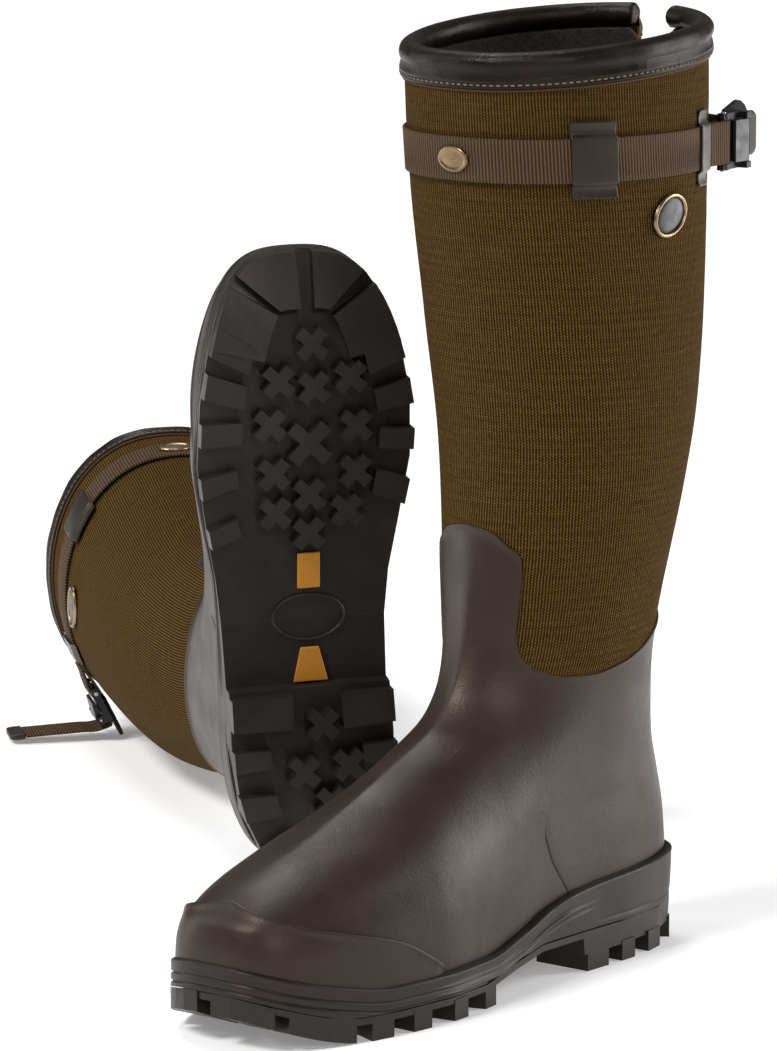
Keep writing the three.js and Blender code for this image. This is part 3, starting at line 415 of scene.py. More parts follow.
class Look:
    """Builds one node material step by step."""

    def __init__(self, name, roughness=0.5, metallic=0.0, **fixed):
        self.material = bpy.data.materials.new(name)
        self.material.use_nodes = True
        self.tree = self.material.node_tree
        self.shader = self.tree.nodes["Principled BSDF"]
        self.shader.inputs["Roughness"].default_value = roughness
        self.shader.inputs["Metallic"].default_value = metallic
        for key, value in fixed.items():
            self.shader.inputs[key.replace("_", " ")].default_value = value
        self.coordinates = self.node("ShaderNodeTexCoord")

    def node(self, kind, **values):
        made = self.tree.nodes.new(kind)
        for key, value in values.items():
            setattr(made, key, value)
        return made

    def link(self, a, b):
        self.tree.links.new(a, b)

    def put(self, socket, value):
        if isinstance(value, (int, float)):
            socket.default_value = value
        else:
            self.link(value, socket)

    def math(self, operation, a, b=0.0, c=None):
        made = self.node("ShaderNodeMath", operation=operation)
        self.put(made.inputs[0], a)
        self.put(made.inputs[1], b)
        if c is not None:
            self.put(made.inputs[2], c)
        return made.outputs[0]

    def uv(self):
        parts = self.node("ShaderNodeSeparateXYZ")
        self.link(self.coordinates.outputs["UV"], parts.inputs[0])
        return parts.outputs[0], parts.outputs[1]

    def noise(self, per_metre, detail=2.0, rough=0.5, uv=False, stretch=(1, 1, 1)):
        made = self.node("ShaderNodeTexNoise")
        made.inputs["Scale"].default_value = per_metre
        made.inputs["Detail"].default_value = detail
        made.inputs["Roughness"].default_value = rough
        scaled = self.node("ShaderNodeMapping")
        scaled.inputs["Scale"].default_value = stretch
        self.link(self.coordinates.outputs["UV" if uv else "Object"], scaled.inputs["Vector"])
        self.link(scaled.outputs[0], made.inputs["Vector"])
        return made.outputs["Fac"]

    def cells(self, per_metre):
        made = self.node("ShaderNodeTexVoronoi", feature="DISTANCE_TO_EDGE")
        made.inputs["Scale"].default_value = per_metre
        self.link(self.coordinates.outputs["Object"], made.inputs["Vector"])
        return made.outputs["Distance"]

    def between(self, factor, low, high, start=0.0, end=1.0):
        """A number that goes from low to high as factor goes from start to end."""
        made = self.node("ShaderNodeMapRange")
        self.link(factor, made.inputs["Value"])
        made.inputs["From Min"].default_value = start
        made.inputs["From Max"].default_value = end
        made.inputs["To Min"].default_value = low
        made.inputs["To Max"].default_value = high
        return made.outputs["Result"]

    def ramp(self, factor, *stops):
        made = self.node("ShaderNodeValToRGB")
        ramp = made.color_ramp
        while len(ramp.elements) < len(stops):
            ramp.elements.new(0.5)
        for element, (place, colour) in zip(ramp.elements, stops):
            element.position = place
            element.color = (*colour, 1)
        self.link(factor, made.inputs[0])
        return made.outputs[0]

    def mix(self, factor, a, b, blend="MIX"):
        made = self.node("ShaderNodeMix", data_type="RGBA", blend_type=blend)
        self.put(made.inputs[0], factor)
        for socket, value in ((made.inputs[6], a), (made.inputs[7], b)):
            if isinstance(value, tuple):
                socket.default_value = (*value, 1)
            else:
                self.link(value, socket)
        return made.outputs[2]

    def colour(self, value):
        self.link(value, self.shader.inputs["Base Color"])
        return self

    def rough(self, value):
        self.link(value, self.shader.inputs["Roughness"])
        return self

    def bump(self, *heights):
        """Each height is (value, distance in millimetres)."""
        normal = None
        for value, distance in heights:
            made = self.node("ShaderNodeBump")
            made.inputs["Distance"].default_value = distance / 1000
            self.link(value, made.inputs["Height"])
            if normal is not None:
                self.link(normal, made.inputs["Normal"])
            normal = made.outputs["Normal"]
        self.link(normal, self.shader.inputs["Normal"])
        return self


def wave(look, value, pitch, shift=0.0):
    """A smooth wave between 0 and 1 with that pitch in the value's unit."""
    turn = look.math("MULTIPLY_ADD", value, 2 * math.pi / pitch, shift)
    return look.math("MULTIPLY_ADD", look.math("SINE", turn), 0.5, 0.5)


WARM_GLOSS = (1.0, 0.86, 0.76, 1)


def rubber(name, dark, light, roughness, grain=0.05):
    look = Look(name, roughness, Specular_IOR_Level=0.34, Specular_Tint=WARM_GLOSS)
    broad, fine = look.noise(14, 3), look.noise(900, 2)
    tint = look.math("MULTIPLY_ADD", fine, 0.3, look.math("MULTIPLY", broad, 0.8))
    look.colour(look.ramp(tint, (0.3, dark), (0.8, light)))
    smudge = look.noise(32, 4, 0.6)
    look.rough(look.between(smudge, roughness - 0.07, roughness + 0.1, 0.3, 0.7))
    return look.bump((look.noise(950, 3, 0.65), grain * 1.6), (look.noise(160, 3), grain)).material


def leather(name, dark, light, roughness, grain=0.16, gloss=0.4):
    look = Look(name, roughness, Specular_IOR_Level=gloss, Specular_Tint=WARM_GLOSS)
    broad, cells = look.noise(40, 4), look.cells(850)
    look.colour(look.ramp(broad, (0.3, dark), (0.75, light)))
    look.rough(look.between(look.noise(90, 3), roughness - 0.08, roughness + 0.12, 0.3, 0.7))
    height = look.between(cells, 0, 1, 0, 0.25)
    return look.bump((height, grain), (look.noise(220, 3), 0.25)).material


def shaft_weave():
    look = Look("ribbed_weave", 0.9, Specular_IOR_Level=0.06)
    u, v = look.uv()
    wander = look.noise(0.05, 2, uv=True)
    u = look.math("MULTIPLY_ADD", wander, 0.8, u)
    rib = wave(look, u, 1.45)
    row = wave(look, look.math("MULTIPLY_ADD", look.noise(0.08, 2, uv=True), 1.2, v), 3.9)
    knot = wave(look, look.math("MULTIPLY_ADD", look.math("SINE", look.math("MULTIPLY", u, 2.167)),
                                0.4, v), 1.3)
    thread = look.noise(0.9, 2, uv=True, stretch=(1, 0.35, 1))
    slub = look.noise(0.35, 3, 0.7, uv=True, stretch=(0.12, 1.6, 1))
    height = look.math("ADD", look.math("MULTIPLY", rib, 0.78),
                       look.math("MULTIPLY_ADD", row, 0.07, look.math("MULTIPLY", knot, 0.37)))
    tone = look.math("MULTIPLY_ADD", thread, 0.5, look.math("MULTIPLY_ADD", slub, 0.45, height))
    # The ramp follows the rib, row and knot height, so the gaps between ribs and the rows turn nearly
    # black: painted shade in the gaps, on top of the yarn's own random tone from the thread and slub
    # noise.
    shade = look.ramp(look.between(tone, 0, 1, 0.4, 1.7), (0.0, (0.0045, 0.0019, 0.0002)),
                      (0.35, (0.0265, 0.0128, 0.0022)), (0.7, (0.087, 0.046, 0.0098)),
                      (1.0, (0.19, 0.113, 0.033)))
    faded = look.mix(look.between(look.noise(9, 3), 0, 0.2, 0.35, 0.75), shade,
                     (0.053, 0.028, 0.0065))
    look.colour(faded)
    return look.bump((height, 0.55), (thread, 0.2)).material


def webbing(name, dark, mid, light, pitch=1.6):
    look = Look(name, 0.72, Specular_IOR_Level=0.2)
    u, v = look.uv()
    rib = wave(look, u, pitch)
    thread = wave(look, look.math("MULTIPLY_ADD", rib, 0.4, v), 0.8)
    fuzz = look.noise(1.4, 2, uv=True)
    height = look.math("MULTIPLY_ADD", thread, 0.25, look.math("MULTIPLY", rib, 0.75))
    tone = look.math("MULTIPLY_ADD", fuzz, 0.5, height)
    # The ramp follows the rib and thread height, so the low parts between the ribs are painted darker:
    # painted shade in the gaps, on top of the random tone from the fuzz noise.
    look.colour(look.ramp(look.between(tone, 0, 1, 0.15, 1.35), (0.05, dark), (0.5, mid),
                          (1.0, light)))
    return look.bump((height, 0.45), (fuzz, 0.15)).material


def felt(name, dark, light):
    look = Look(name, 0.95, Specular_IOR_Level=0.1, Sheen_Weight=0.06, Sheen_Roughness=0.5)
    pile = look.noise(700, 4, 0.7)
    look.colour(look.ramp(look.math("MULTIPLY_ADD", look.noise(30, 3), 0.4, pile),
                          (0.4, dark), (0.95, light)))
    return look.bump((pile, 0.8), (look.noise(120, 3), 0.8)).material


def metal(name, dark, light, roughness, brushed=(1, 1, 1)):
    look = Look(name, roughness, 1.0)
    look.colour(look.ramp(look.noise(60, 4, 0.6), (0.3, dark), (0.7, light)))
    fine = look.noise(1200, 2, stretch=brushed)
    look.rough(look.between(fine, roughness - 0.08, roughness + 0.12, 0.3, 0.7))
    return look.bump((fine, 0.02)).material


def plastic(name, dark, light, roughness):
    look = Look(name, roughness, Specular_IOR_Level=0.4)
    look.colour(look.ramp(look.noise(80, 3), (0.3, dark), (0.75, light)))
    look.rough(look.between(look.noise(200, 3), roughness - 0.06, roughness + 0.1, 0.3, 0.7))
    return look.bump((look.noise(2200, 2), 0.03)).material


def knit():
    look = Look("stretch_knit", 0.9, Specular_IOR_Level=0.2)
    u, v = look.uv()
    rib, loops = wave(look, u, 2.2), wave(look, v, 1.1)
    height = look.math("MULTIPLY_ADD", loops, 0.35, rib)
    # The ramp follows the rib and loop height, so the gaps between them are painted darker: painted
    # shade in the gaps.
    look.colour(look.ramp(look.between(height, 0, 1, 0, 1.35), (0.0, (0.004, 0.003, 0.003)),
                          (1.0, (0.028, 0.023, 0.02))))
    return look.bump((height, 0.7), (look.noise(900, 2), 0.2)).material


SHELL = rubber("shell_rubber", (0.0185, 0.0112, 0.0082), (0.0315, 0.0205, 0.0155), 0.37, 0.09)
RAND = rubber("rand_rubber", (0.0105, 0.0082, 0.0068), (0.0185, 0.0146, 0.0123), 0.4)
TREAD = rubber("tread_rubber", (0.0095, 0.0084, 0.0078), (0.021, 0.0185, 0.017), 0.38, 0.09)
ORANGE = rubber("amber_rubber", (0.36, 0.135, 0.012), (0.52, 0.225, 0.028), 0.5, 0.07)
WEAVE = shaft_weave()
LEATHER = leather("collar_leather", (0.0048, 0.0034, 0.0028), (0.0115, 0.0085, 0.007),
                  0.34, 0.05, 0.22)
LOOP = leather("loop_leather", (0.0112, 0.008, 0.0064), (0.022, 0.0163, 0.0134), 0.4, 0.05)
WEBBING = webbing("strap_webbing", (0.010, 0.0045, 0.0018), (0.064, 0.034, 0.0155),
                  (0.16, 0.093, 0.047))
BLACK_WEBBING = webbing("tab_webbing", (0.002, 0.0017, 0.0015), (0.009, 0.0075, 0.0065),
                        (0.032, 0.028, 0.025), 1.5)
FELT = felt("lining_felt", (0.006, 0.005, 0.0045), (0.045, 0.036, 0.029))
FOOTBED = felt("footbed_felt", (0.012, 0.011, 0.01), (0.05, 0.046, 0.042))
KNIT = knit()
LOOP_METAL = metal("satin_metal", (0.085, 0.076, 0.07), (0.2, 0.185, 0.172), 0.36, (1, 1, 0.2))
STEEL = metal("steel", (0.42, 0.42, 0.42), (0.62, 0.61, 0.6), 0.28, (1, 1, 0.15))
BRASS = metal("brass", (0.20, 0.135, 0.075), (0.40, 0.29, 0.18), 0.3)
BADGE = plastic("badge_face", (0.010, 0.009, 0.008), (0.024, 0.021, 0.019), 0.34)
BUCKLE = plastic("buckle_plastic", (0.006, 0.005, 0.0045), (0.016, 0.013, 0.012), 0.36)
THREAD = webbing("stitch_thread", (0.05, 0.036, 0.026), (0.15, 0.115, 0.085),
                 (0.26, 0.21, 0.165), 0.6)
PIPING = webbing("edge_piping", (0.012, 0.006, 0.002), (0.05, 0.026, 0.010),
                 (0.12, 0.068, 0.03), 1.2)
FOAM = felt("midsole_foam", (0.03, 0.028, 0.026), (0.06, 0.056, 0.052))
BOARD = felt("fibre_board", (0.2, 0.14, 0.085), (0.32, 0.235, 0.15))


def finish_piece(obj, body, material, slot, *nodes):
    obj.data.materials.clear()
    obj.data.materials.append(material)
    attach(obj, body)
    if nodes:
        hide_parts(*nodes)
    return obj


# ---- Upper ----

def make_shaft(side):
    count, rows = 420, 170
    fraction = np.linspace(0, 1, count + 1)
    low = shell_edge(fraction * 360) - 3
    high = top_edge(fraction * 360)

    def lip(z, below):
        turn = fraction[:, None] * 2 * np.pi
        wave_in = ripple(turn * 3, z / 40, 11) * 0.55
        return wave_in * np.clip((z - low[:, None]) / 30, 0, 1) * np.clip(below / 25, 0, 1)

    heights, offsets = wall_section(low, high, -0.4, -2.6, rows, 40, lip=lip)
    opening = NOTCH_HALF * np.clip((heights - NOTCH_BOTTOM + 1) / 6, 0, 1)
    angles = opening + (360 - 2 * opening) * fraction[:, None]
    obj = skin_wall(f"{side}_shaft_weave", side, angles, heights, offsets)
    finish_piece(obj, f"{side}_boot", WEAVE, "weave", f"{side}_shaft")
    back = np.linspace(-3.2, 3.2, 9)
    z, d = wall_section(np.full(9, shell_edge(360.0) - 3), np.full(9, NOTCH_BOTTOM + 3), 0.7, -0.6,
                        90, edge=0.5)
    cover = skin_wall(f"{side}_back_seam", side, back * 0.9, z, d)
    finish_piece(cover, f"{side}_boot", WEBBING, "webbing")


def swell(angle, z):
    """The rubber's slight unevenness, the same for the shell and what lies on it."""
    turn = np.radians(angle)
    return 0.12 * ripple(5 * np.sin(turn), z / 13 + 4 * np.cos(turn), 5)


def make_shell(side):
    angles = ring_angles(420)
    low = FEATHER(foot_y(angles)) - SHELL_DROP
    high = shell_edge(angles)

    def lip(z, below):
        side = np.exp(-((np.abs(angles[:, None] - 180) - 95) / 22) ** 2)
        ankle = side * np.exp(-((z - 172) / 22) ** 2)
        creases = 0.26 * np.sin(z * 1.35 + 0.8 * ripple(angles[:, None] / 12, z / 30, 8))
        return 0.9 * np.exp(-(below / 2.2) ** 2) + swell(angles[:, None], z) + creases * ankle

    heights, offsets = wall_section(low, high, 0, -2.6, 190, 24, edge=0.9, lip=lip)
    obj = skin_wall(f"{side}_foot_rubber", side, angles, heights, offsets, ring=True)
    finish_piece(obj, f"{side}_boot", SHELL, "shell_rubber", f"{side}_foot_shell")


def make_toe_cap(side):
    angles = np.linspace(CAP_START, CAP_END, 260)
    low = FEATHER(foot_y(angles)) - 1
    high = np.maximum(TOE_CAP_EDGE(np.minimum(angles, 360 - angles)), low + 2)

    def lip(z, below):
        return 0.75 * np.exp(-((below - 1.0) / 1.5) ** 2) + 0 * z

    heights, offsets = wall_section(low, high, 2.0, 0.0, 60, edge=0.5, lip=lip)
    inward = np.clip(np.minimum(angles - CAP_START, CAP_END - angles) / 2.5, 0, 1)[:, None]
    offsets = offsets * (0.4 + 0.6 * inward)
    obj = skin_wall(f"{side}_toe_cap_rubber", side, angles, heights, offsets)
    finish_piece(obj, f"{side}_boot", SHELL, "shell_rubber", f"{side}_toe_cap")


def make_counter(side):
    reach = curve([(30, 68), (41, 71), (73, 83), (102, 106), (126, 118)])
    share = np.linspace(-1, 1, 240)
    low = FEATHER(foot_y(share * COUNTER_REACH)) - 1
    high = np.full(len(share), COUNTER_TOP)

    def lip(z, below):
        fade = 0.55 * np.clip((z - 65) / 25, 0, 1)
        return swell(share[:, None] * reach(z), z) - fade + 0 * below

    heights, offsets = wall_section(low, high, 0.32, -0.8, 70, edge=0.1, lip=lip)
    angles = share[:, None] * reach(heights)
    inward = np.clip((1 - np.abs(share)) / 0.03, 0, 1)[:, None]
    offsets = np.where(offsets > 0, offsets - 0.3 * (1 - np.sqrt(inward)), offsets)
    obj = skin_wall(f"{side}_heel_counter_rubber", side, angles, heights, offsets)
    finish_piece(obj, f"{side}_boot", SHELL, "shell_rubber", f"{side}_heel_counter")


def make_rand(side):
    angles = ring_angles(520)
    y = foot_y(angles)
    low, high = plate_top(y) + 0.4, FEATHER(y)
    t = np.linspace(0, 1, 46)
    z = low[:, None] + (high - low)[:, None] * t
    below = high[:, None] - z
    turned = np.abs(angles - 180)[:, None]
    toe = np.clip((112 - turned) / 6, 0, 1)
    flank = np.clip((turned - 62) / 8, 0, 1) * np.clip((118 - turned) / 10, 0, 1)
    d = np.full_like(z, 3.7)
    d -= 1.7 * np.clip(1 - below / 1.6, 0, 1) ** 2
    for line, depth in ((6.6, 0.8), (10.6, 0.9)):
        d -= depth * toe * np.exp(-((below - line) / 0.5) ** 2)
    for line in (6.0, 9.2):
        rise = line + 2.5 * np.clip((turned - 84) / 30, 0, 1)
        d += 0.8 * flank * np.exp(-((below - rise) / 0.75) ** 2)
    d += 0.45 * np.clip(1 - below / 3.2, 0, 1) * np.clip(below / 1.2, 0, 1)
    heel = np.clip((turned - 118) / 8, 0, 1)
    d -= 0.6 * heel * np.exp(-((z - low[:, None] - 3.2) / 0.7) ** 2)
    inner_z = z[:, ::-1][:, ::8]
    heights = np.hstack([z, inner_z])
    offsets = np.hstack([d, np.full_like(inner_z, 0.3)])
    level = skin(angles[:, None], heights, offsets)
    level[..., 2] = heights
    obj = swept(f"{side}_rand_rubber", side, level, ring=True)
    finish_piece(obj, f"{side}_boot", RAND, "rand_rubber", f"{side}_rand")


def make_lining(side):
    angles = ring_angles(300)
    low = FEATHER(foot_y(angles)) - 2.2
    dip = np.clip(1.35 - np.minimum(angles, 360 - angles) / NOTCH_HALF, 0, 1)
    high = top_edge(angles) - 0.5 - dip * 9
    draw = np.random.default_rng(3)
    heights, offsets = wall_section(low, high, -3.4, -7.2, 30, 130)
    inner = offsets < -7
    tuft = draw.uniform(-0.5, 0.5, heights.shape)
    offsets = np.where(inner, offsets + 0.5 * tuft, offsets)
    obj = skin_wall(f"{side}_lining_pile", side, angles, heights, offsets, ring=True)
    finish_piece(obj, f"{side}_boot", FELT, "felt", f"{side}_lining")


def make_footbed(side):
    half = np.linspace(0, 180, 110)
    y = foot_y(half)
    under_layers = 1.2 + 1.4 + 0.8
    bottom = FEATHER(y) - SHELL_DROP + under_layers
    columns = []
    edge, step = -8.1, np.linspace(0, 1, 26)
    left, right = skin(half, SOLE_LEVEL, edge), skin(360 - half, SOLE_LEVEL, edge)
    for i in range(len(half)):
        a, b = right[i], left[i]
        across = a[None] + (b - a)[None] * step[:, None]
        rim = 4 * (step - 0.5) ** 2
        rise = bottom[i] + 4.2 + 0.8 * rim ** 2
        top = np.column_stack([across[:, :2], rise])
        under = np.column_stack([across[::-1, :2], np.full(len(step), bottom[i])])
        columns.append(np.vstack([top, under]))
    obj = swept(f"{side}_footbed_felt", side, np.array(columns)[2:-2])
    finish_piece(obj, f"{side}_boot", FOOTBED, "felt", f"{side}_footbed")


def make_gusset(side):
    angles = np.linspace(-6.4, 6.4, 80)
    z, d = wall_section(np.full(80, NOTCH_BOTTOM - 3), np.full(80, GUSSET_TOP), -0.9, -2.5, 50)
    d = d + 0.35 * np.sin(angles * 4.2)[:, None] - 0.5
    obj = skin_wall(f"{side}_back_gusset_knit", side, angles, z, d)
    finish_piece(obj, f"{side}_boot", KNIT, "stretch_knit", f"{side}_back_gusset")


def collar_section():
    """Offsets and rises of the collar's closed section about the shaft's top edge."""
    face = [(0.4, -4.7), (0.7, -5.0), (1.4, -5.0), (1.75, -4.6), (1.8, -3.9), (1.45, -3.4),
            (1.45, -2.8), (1.85, -2.2), (1.95, -1.4), (1.8, -0.6), (1.5, 0.1), (1.55, 0.5)]
    arc = np.radians(np.linspace(-38, 205, 34))
    roll = [(-3.4 + 5.4 * math.cos(a), 5.8 + 5.4 * math.sin(a)) for a in arc]
    return np.array(face + roll + [(-6.4, 1.2), (0.2, 0.6)])


def make_collar(side):
    angles = np.linspace(NOTCH_HALF, 360 - NOTCH_HALF, 420)
    profile = collar_section()
    middle = np.array([-3.0, 5.8])
    near_end = np.minimum(angles - NOTCH_HALF, 360 - NOTCH_HALF - angles)
    size = np.sqrt(np.clip(1 - (1 - np.clip(near_end / 2.4, 0, 1)) ** 2, 0.02, 1))
    part = profile[:, 1] > 0.5
    shape = np.repeat(profile[None], len(angles), 0)
    grown = middle + (shape - middle) * size[:, None, None]
    shape = np.where(part[None, :, None], grown, shape)
    swell = 1 + 0.03 * np.sin(angles / 5.0)[:, None] + 0.02 * np.sin(angles / 2.3 + 1)[:, None]
    shape[..., 0] = np.where(part[None], middle[0] + (shape[..., 0] - middle[0]) * swell,
                             shape[..., 0])
    z = top_edge(angles)[:, None]
    low = np.minimum(shape[..., 1], 0)
    columns = skin(angles[:, None], z + low, shape[..., 0])
    columns[..., 2] = z + shape[..., 1]
    obj = swept(f"{side}_collar_leather", side, columns)
    finish_piece(obj, f"{side}_boot", LEATHER, "leather", f"{side}_collar")
    stitches(side, "collar_stitches", angles[4:-4], lambda a: top_edge(a) - 3.1, 1.75)
    edge = np.linspace(NOTCH_HALF + 0.1, 359.9 - NOTCH_HALF, 300)
    arc = np.radians(np.arange(0, 360, 45))
    rise = top_edge(edge)[:, None] - 5.7 + 0.7 * np.sin(arc)
    tube = skin(edge[:, None], rise, 0.3 + 0.6 * np.cos(arc))
    piping = swept(f"{side}_collar_piping", side, tube)
    finish_piece(piping, f"{side}_boot", PIPING, "webbing")


def stitches(side, name, angles, height, out, pitch=3.3, length=2.3):
    """A row of sewn stitches along the skin, as one piece."""
    line = skin(angles, height(angles), out)
    walked = np.concatenate([[0], np.cumsum(np.linalg.norm(np.diff(line, axis=0), axis=1))])
    middles = np.arange(pitch, walked[-1] - pitch, pitch)
    shape = [(-1, .1), (-.85, .6), (-.4, .95), (0, 1), (.4, .95), (.85, .6), (1, .1)]
    points, faces = [], []
    turn = np.radians(np.arange(0, 360, 60))
    for middle in middles:
        ends = [np.array([np.interp(middle + s, walked, line[:, k]) for k in range(3)])
                for s in (-0.5, 0.5)]
        centre, along = (ends[0] + ends[1]) / 2, ends[1] - ends[0]
        along /= np.linalg.norm(along)
        up = np.array([0, 0, 1.0])
        away = np.cross(along, up)
        start = len(points)
        for s, r in shape:
            ring = centre + along * s * length / 2
            for a in turn:
                points.append(ring + (up * math.cos(a) * 0.42 + away * math.sin(a) * 0.36) * r)
        for i in range(len(shape) - 1):
            for k in range(6):
                m = (k + 1) % 6
                faces.append((start + i * 6 + k, start + (i + 1) * 6 + k,
                              start + (i + 1) * 6 + m, start + i * 6 + m))
    obj = new_object(f"{side}_{name}", side, np.array(points), np.array(faces))
    close_holes(obj)
    finish_piece(obj, f"{side}_boot", THREAD, "webbing")


def close_holes(obj):
    bm = bmesh.new()
    bm.from_mesh(obj.data)
    bmesh.ops.holes_fill(bm, edges=[e for e in bm.edges if e.is_boundary], sides=8)
    bmesh.ops.recalc_face_normals(bm, faces=bm.faces)
    bm.to_mesh(obj.data)
    bm.free()


# ---- Strap, loops and badges ----

STRAP_END = {"left": 368, "right": 372}


def make_strap(side):
    angles = np.linspace(60, STRAP_END[side], 1100)
    count = len(angles)
    z, d = wall_section(np.full(count, STRAP_HEIGHT - STRAP_HALF),
                        np.full(count, STRAP_HEIGHT + STRAP_HALF), 1.9, 0.4, 14, 4, edge=0.6)
    rib = 0.1 * np.sin(girth(angles, STRAP_HEIGHT) * 2 * np.pi / 1.6)
    border = np.clip((np.abs(z - STRAP_HEIGHT) - 7.6) / 0.8, 0, 1)
    d = np.where(d > 1.2, d + rib[:, None] * (1 - border) + 0.12 * border, d)
    obj = skin_wall(f"{side}_strap_webbing", side, angles, z, d)
    finish_piece(obj, f"{side}_boot", WEBBING, "webbing", f"{side}_strap_band")


def make_loop(side, name, angle, width, material, slot, node):
    radius = np.linalg.norm(skin(angle, STRAP_HEIGHT) - skin(angle + 1, STRAP_HEIGHT))
    half = width / 2 / radius
    across = np.array([-1, -.985, -.95, -.9, -.6, -.2, .2, .6, .9, .95, .985, 1])
    rises = np.array([-17.4, -17.2, -16.6, -15.4, -14, -13, -12, -11.4, -10.8, -10.3, -9.4, -6, 0])
    rises = np.concatenate([rises, -rises[:-1][::-1]])
    bridge = np.clip((12.6 - np.abs(rises)) / 2.6, 0, 1)
    bridge = bridge * bridge * (3 - 2 * bridge)
    tip = np.clip((np.abs(rises) - 13.5) / 4, 0, 1)
    out = 1.4 + 2.2 * bridge + 0.8 * tip ** 2
    back = out - 1.25
    soft = 0.3 * (np.abs(rises) > 17.3)
    upper = list(zip(rises, out - soft)) + list(zip(rises[::-1], (back + soft)[::-1]))
    profile = np.array(upper)
    angles = angle + half * across
    edge = np.where(np.abs(across) > 0.99, 0.35, np.where(np.abs(across) > 0.97, 0.1, 0.0))
    offsets = np.repeat(profile[None, :, 1], len(angles), 0)
    middle = (offsets[:, :len(rises)] + offsets[:, len(rises):][:, ::-1]) / 2
    middle = np.hstack([middle, middle[:, ::-1]])
    offsets = offsets + (middle - offsets) * edge[:, None] * 1.8
    heights = STRAP_HEIGHT + np.repeat(profile[None, :, 0], len(angles), 0)
    corner = np.clip((np.abs(across)[:, None] - 0.9) / 0.1, 0, 1) ** 2
    heights = STRAP_HEIGHT + (heights - STRAP_HEIGHT) * (1 - 0.045 * corner)
    points = skin(angles[:, None] + 0 * heights, heights, offsets)
    points[..., 2] = heights
    obj = swept(f"{side}_{name}", side, points)
    finish_piece(obj, f"{side}_boot", material, slot, node)


def skin_frame(angle, z, out, roll=0.0):
    """Origin and axes (across, up, out) of a flat piece on the skin."""
    origin = skin(angle, z, out)
    normal = skin(angle, z, 1.0) - skin(angle, z, 0.0)
    across = np.cross([0, 0, 1.0], normal)
    across /= np.linalg.norm(across)
    up = np.cross(normal, across)
    c, s = math.cos(math.radians(roll)), math.sin(math.radians(roll))
    return origin, across * c + up * s, up * c - across * s, normal


def oval_piece(name, side, place, half, profile, sides=72):
    """A lens-like piece on an oval: profile holds (inset from the rim, height), centre last."""
    origin, across, up, normal = place
    turn = np.arange(sides) / sides * 2 * np.pi
    rings = []
    for inset, height in profile:
        a, b = max(half[0] - inset, 0.02), max(half[1] - inset, 0.02)
        plan = a * np.cos(turn)[:, None] * across + b * np.sin(turn)[:, None] * up
        rings.append(origin + plan + normal * height)
    return swept(name, side, np.array(rings).transpose(1, 0, 2), ring=True)


def make_badges(side):
    place = skin_frame(180, STRAP_HEIGHT, 1.9)
    rim = [(0.0, 0.0), (0.0, 0.7), (0.25, 1.2), (0.8, 1.4), (1.4, 1.25), (1.8, 0.95), (2.6, 0.95),
           (4.5, 1.1), (5.85, 1.15), (5.98, 1.15), (5.98, 0.0)]
    obj = oval_piece(f"{side}_strap_badge_oval", side, place, (8.5, 6.0), rim)
    finish_piece(obj, f"{side}_boot", BRASS, "brass", f"{side}_strap_badge")
    place = skin_frame(91, STRAP_HEIGHT - 28, -0.15, 25)
    ring = [(0, 0), (0, 1.2), (0.3, 1.9), (0.9, 2.25), (1.5, 2.1), (1.95, 1.5), (2.0, 0.2)]
    obj = oval_piece(f"{side}_shaft_badge_ring", side, place, (12.0, 9.6), ring)
    finish_piece(obj, f"{side}_boot", BRASS, "brass", f"{side}_shaft_badge_rim")
    dome = [(0, 0), (0, 1.2), (0.3, 1.45), (1.5, 1.65), (4, 1.85), (7.2, 1.95), (7.38, 1.95),
            (7.38, 0.1)]
    obj = oval_piece(f"{side}_shaft_badge_dome", side, place, (9.8, 7.4), dome)
    finish_piece(obj, f"{side}_boot", BADGE, "badge_face", f"{side}_shaft_badge_face")


# ---- Buckle, in its own frame: X along it away from the boot, -Y its outer face ----

SWING = {"left": 18, "right": 5}


def buckle_place(side):
    start, after = skin(57, STRAP_HEIGHT, 2.4), skin(56, STRAP_HEIGHT, 2.4)
    heading = math.atan2(after[1] - start[1], after[0] - start[0]) - math.radians(SWING[side])
    c, s = math.cos(heading), math.sin(heading)
    turn = np.array([[c, -s, 0], [s, c, 0], [0, 0, 1]])
    return start, turn


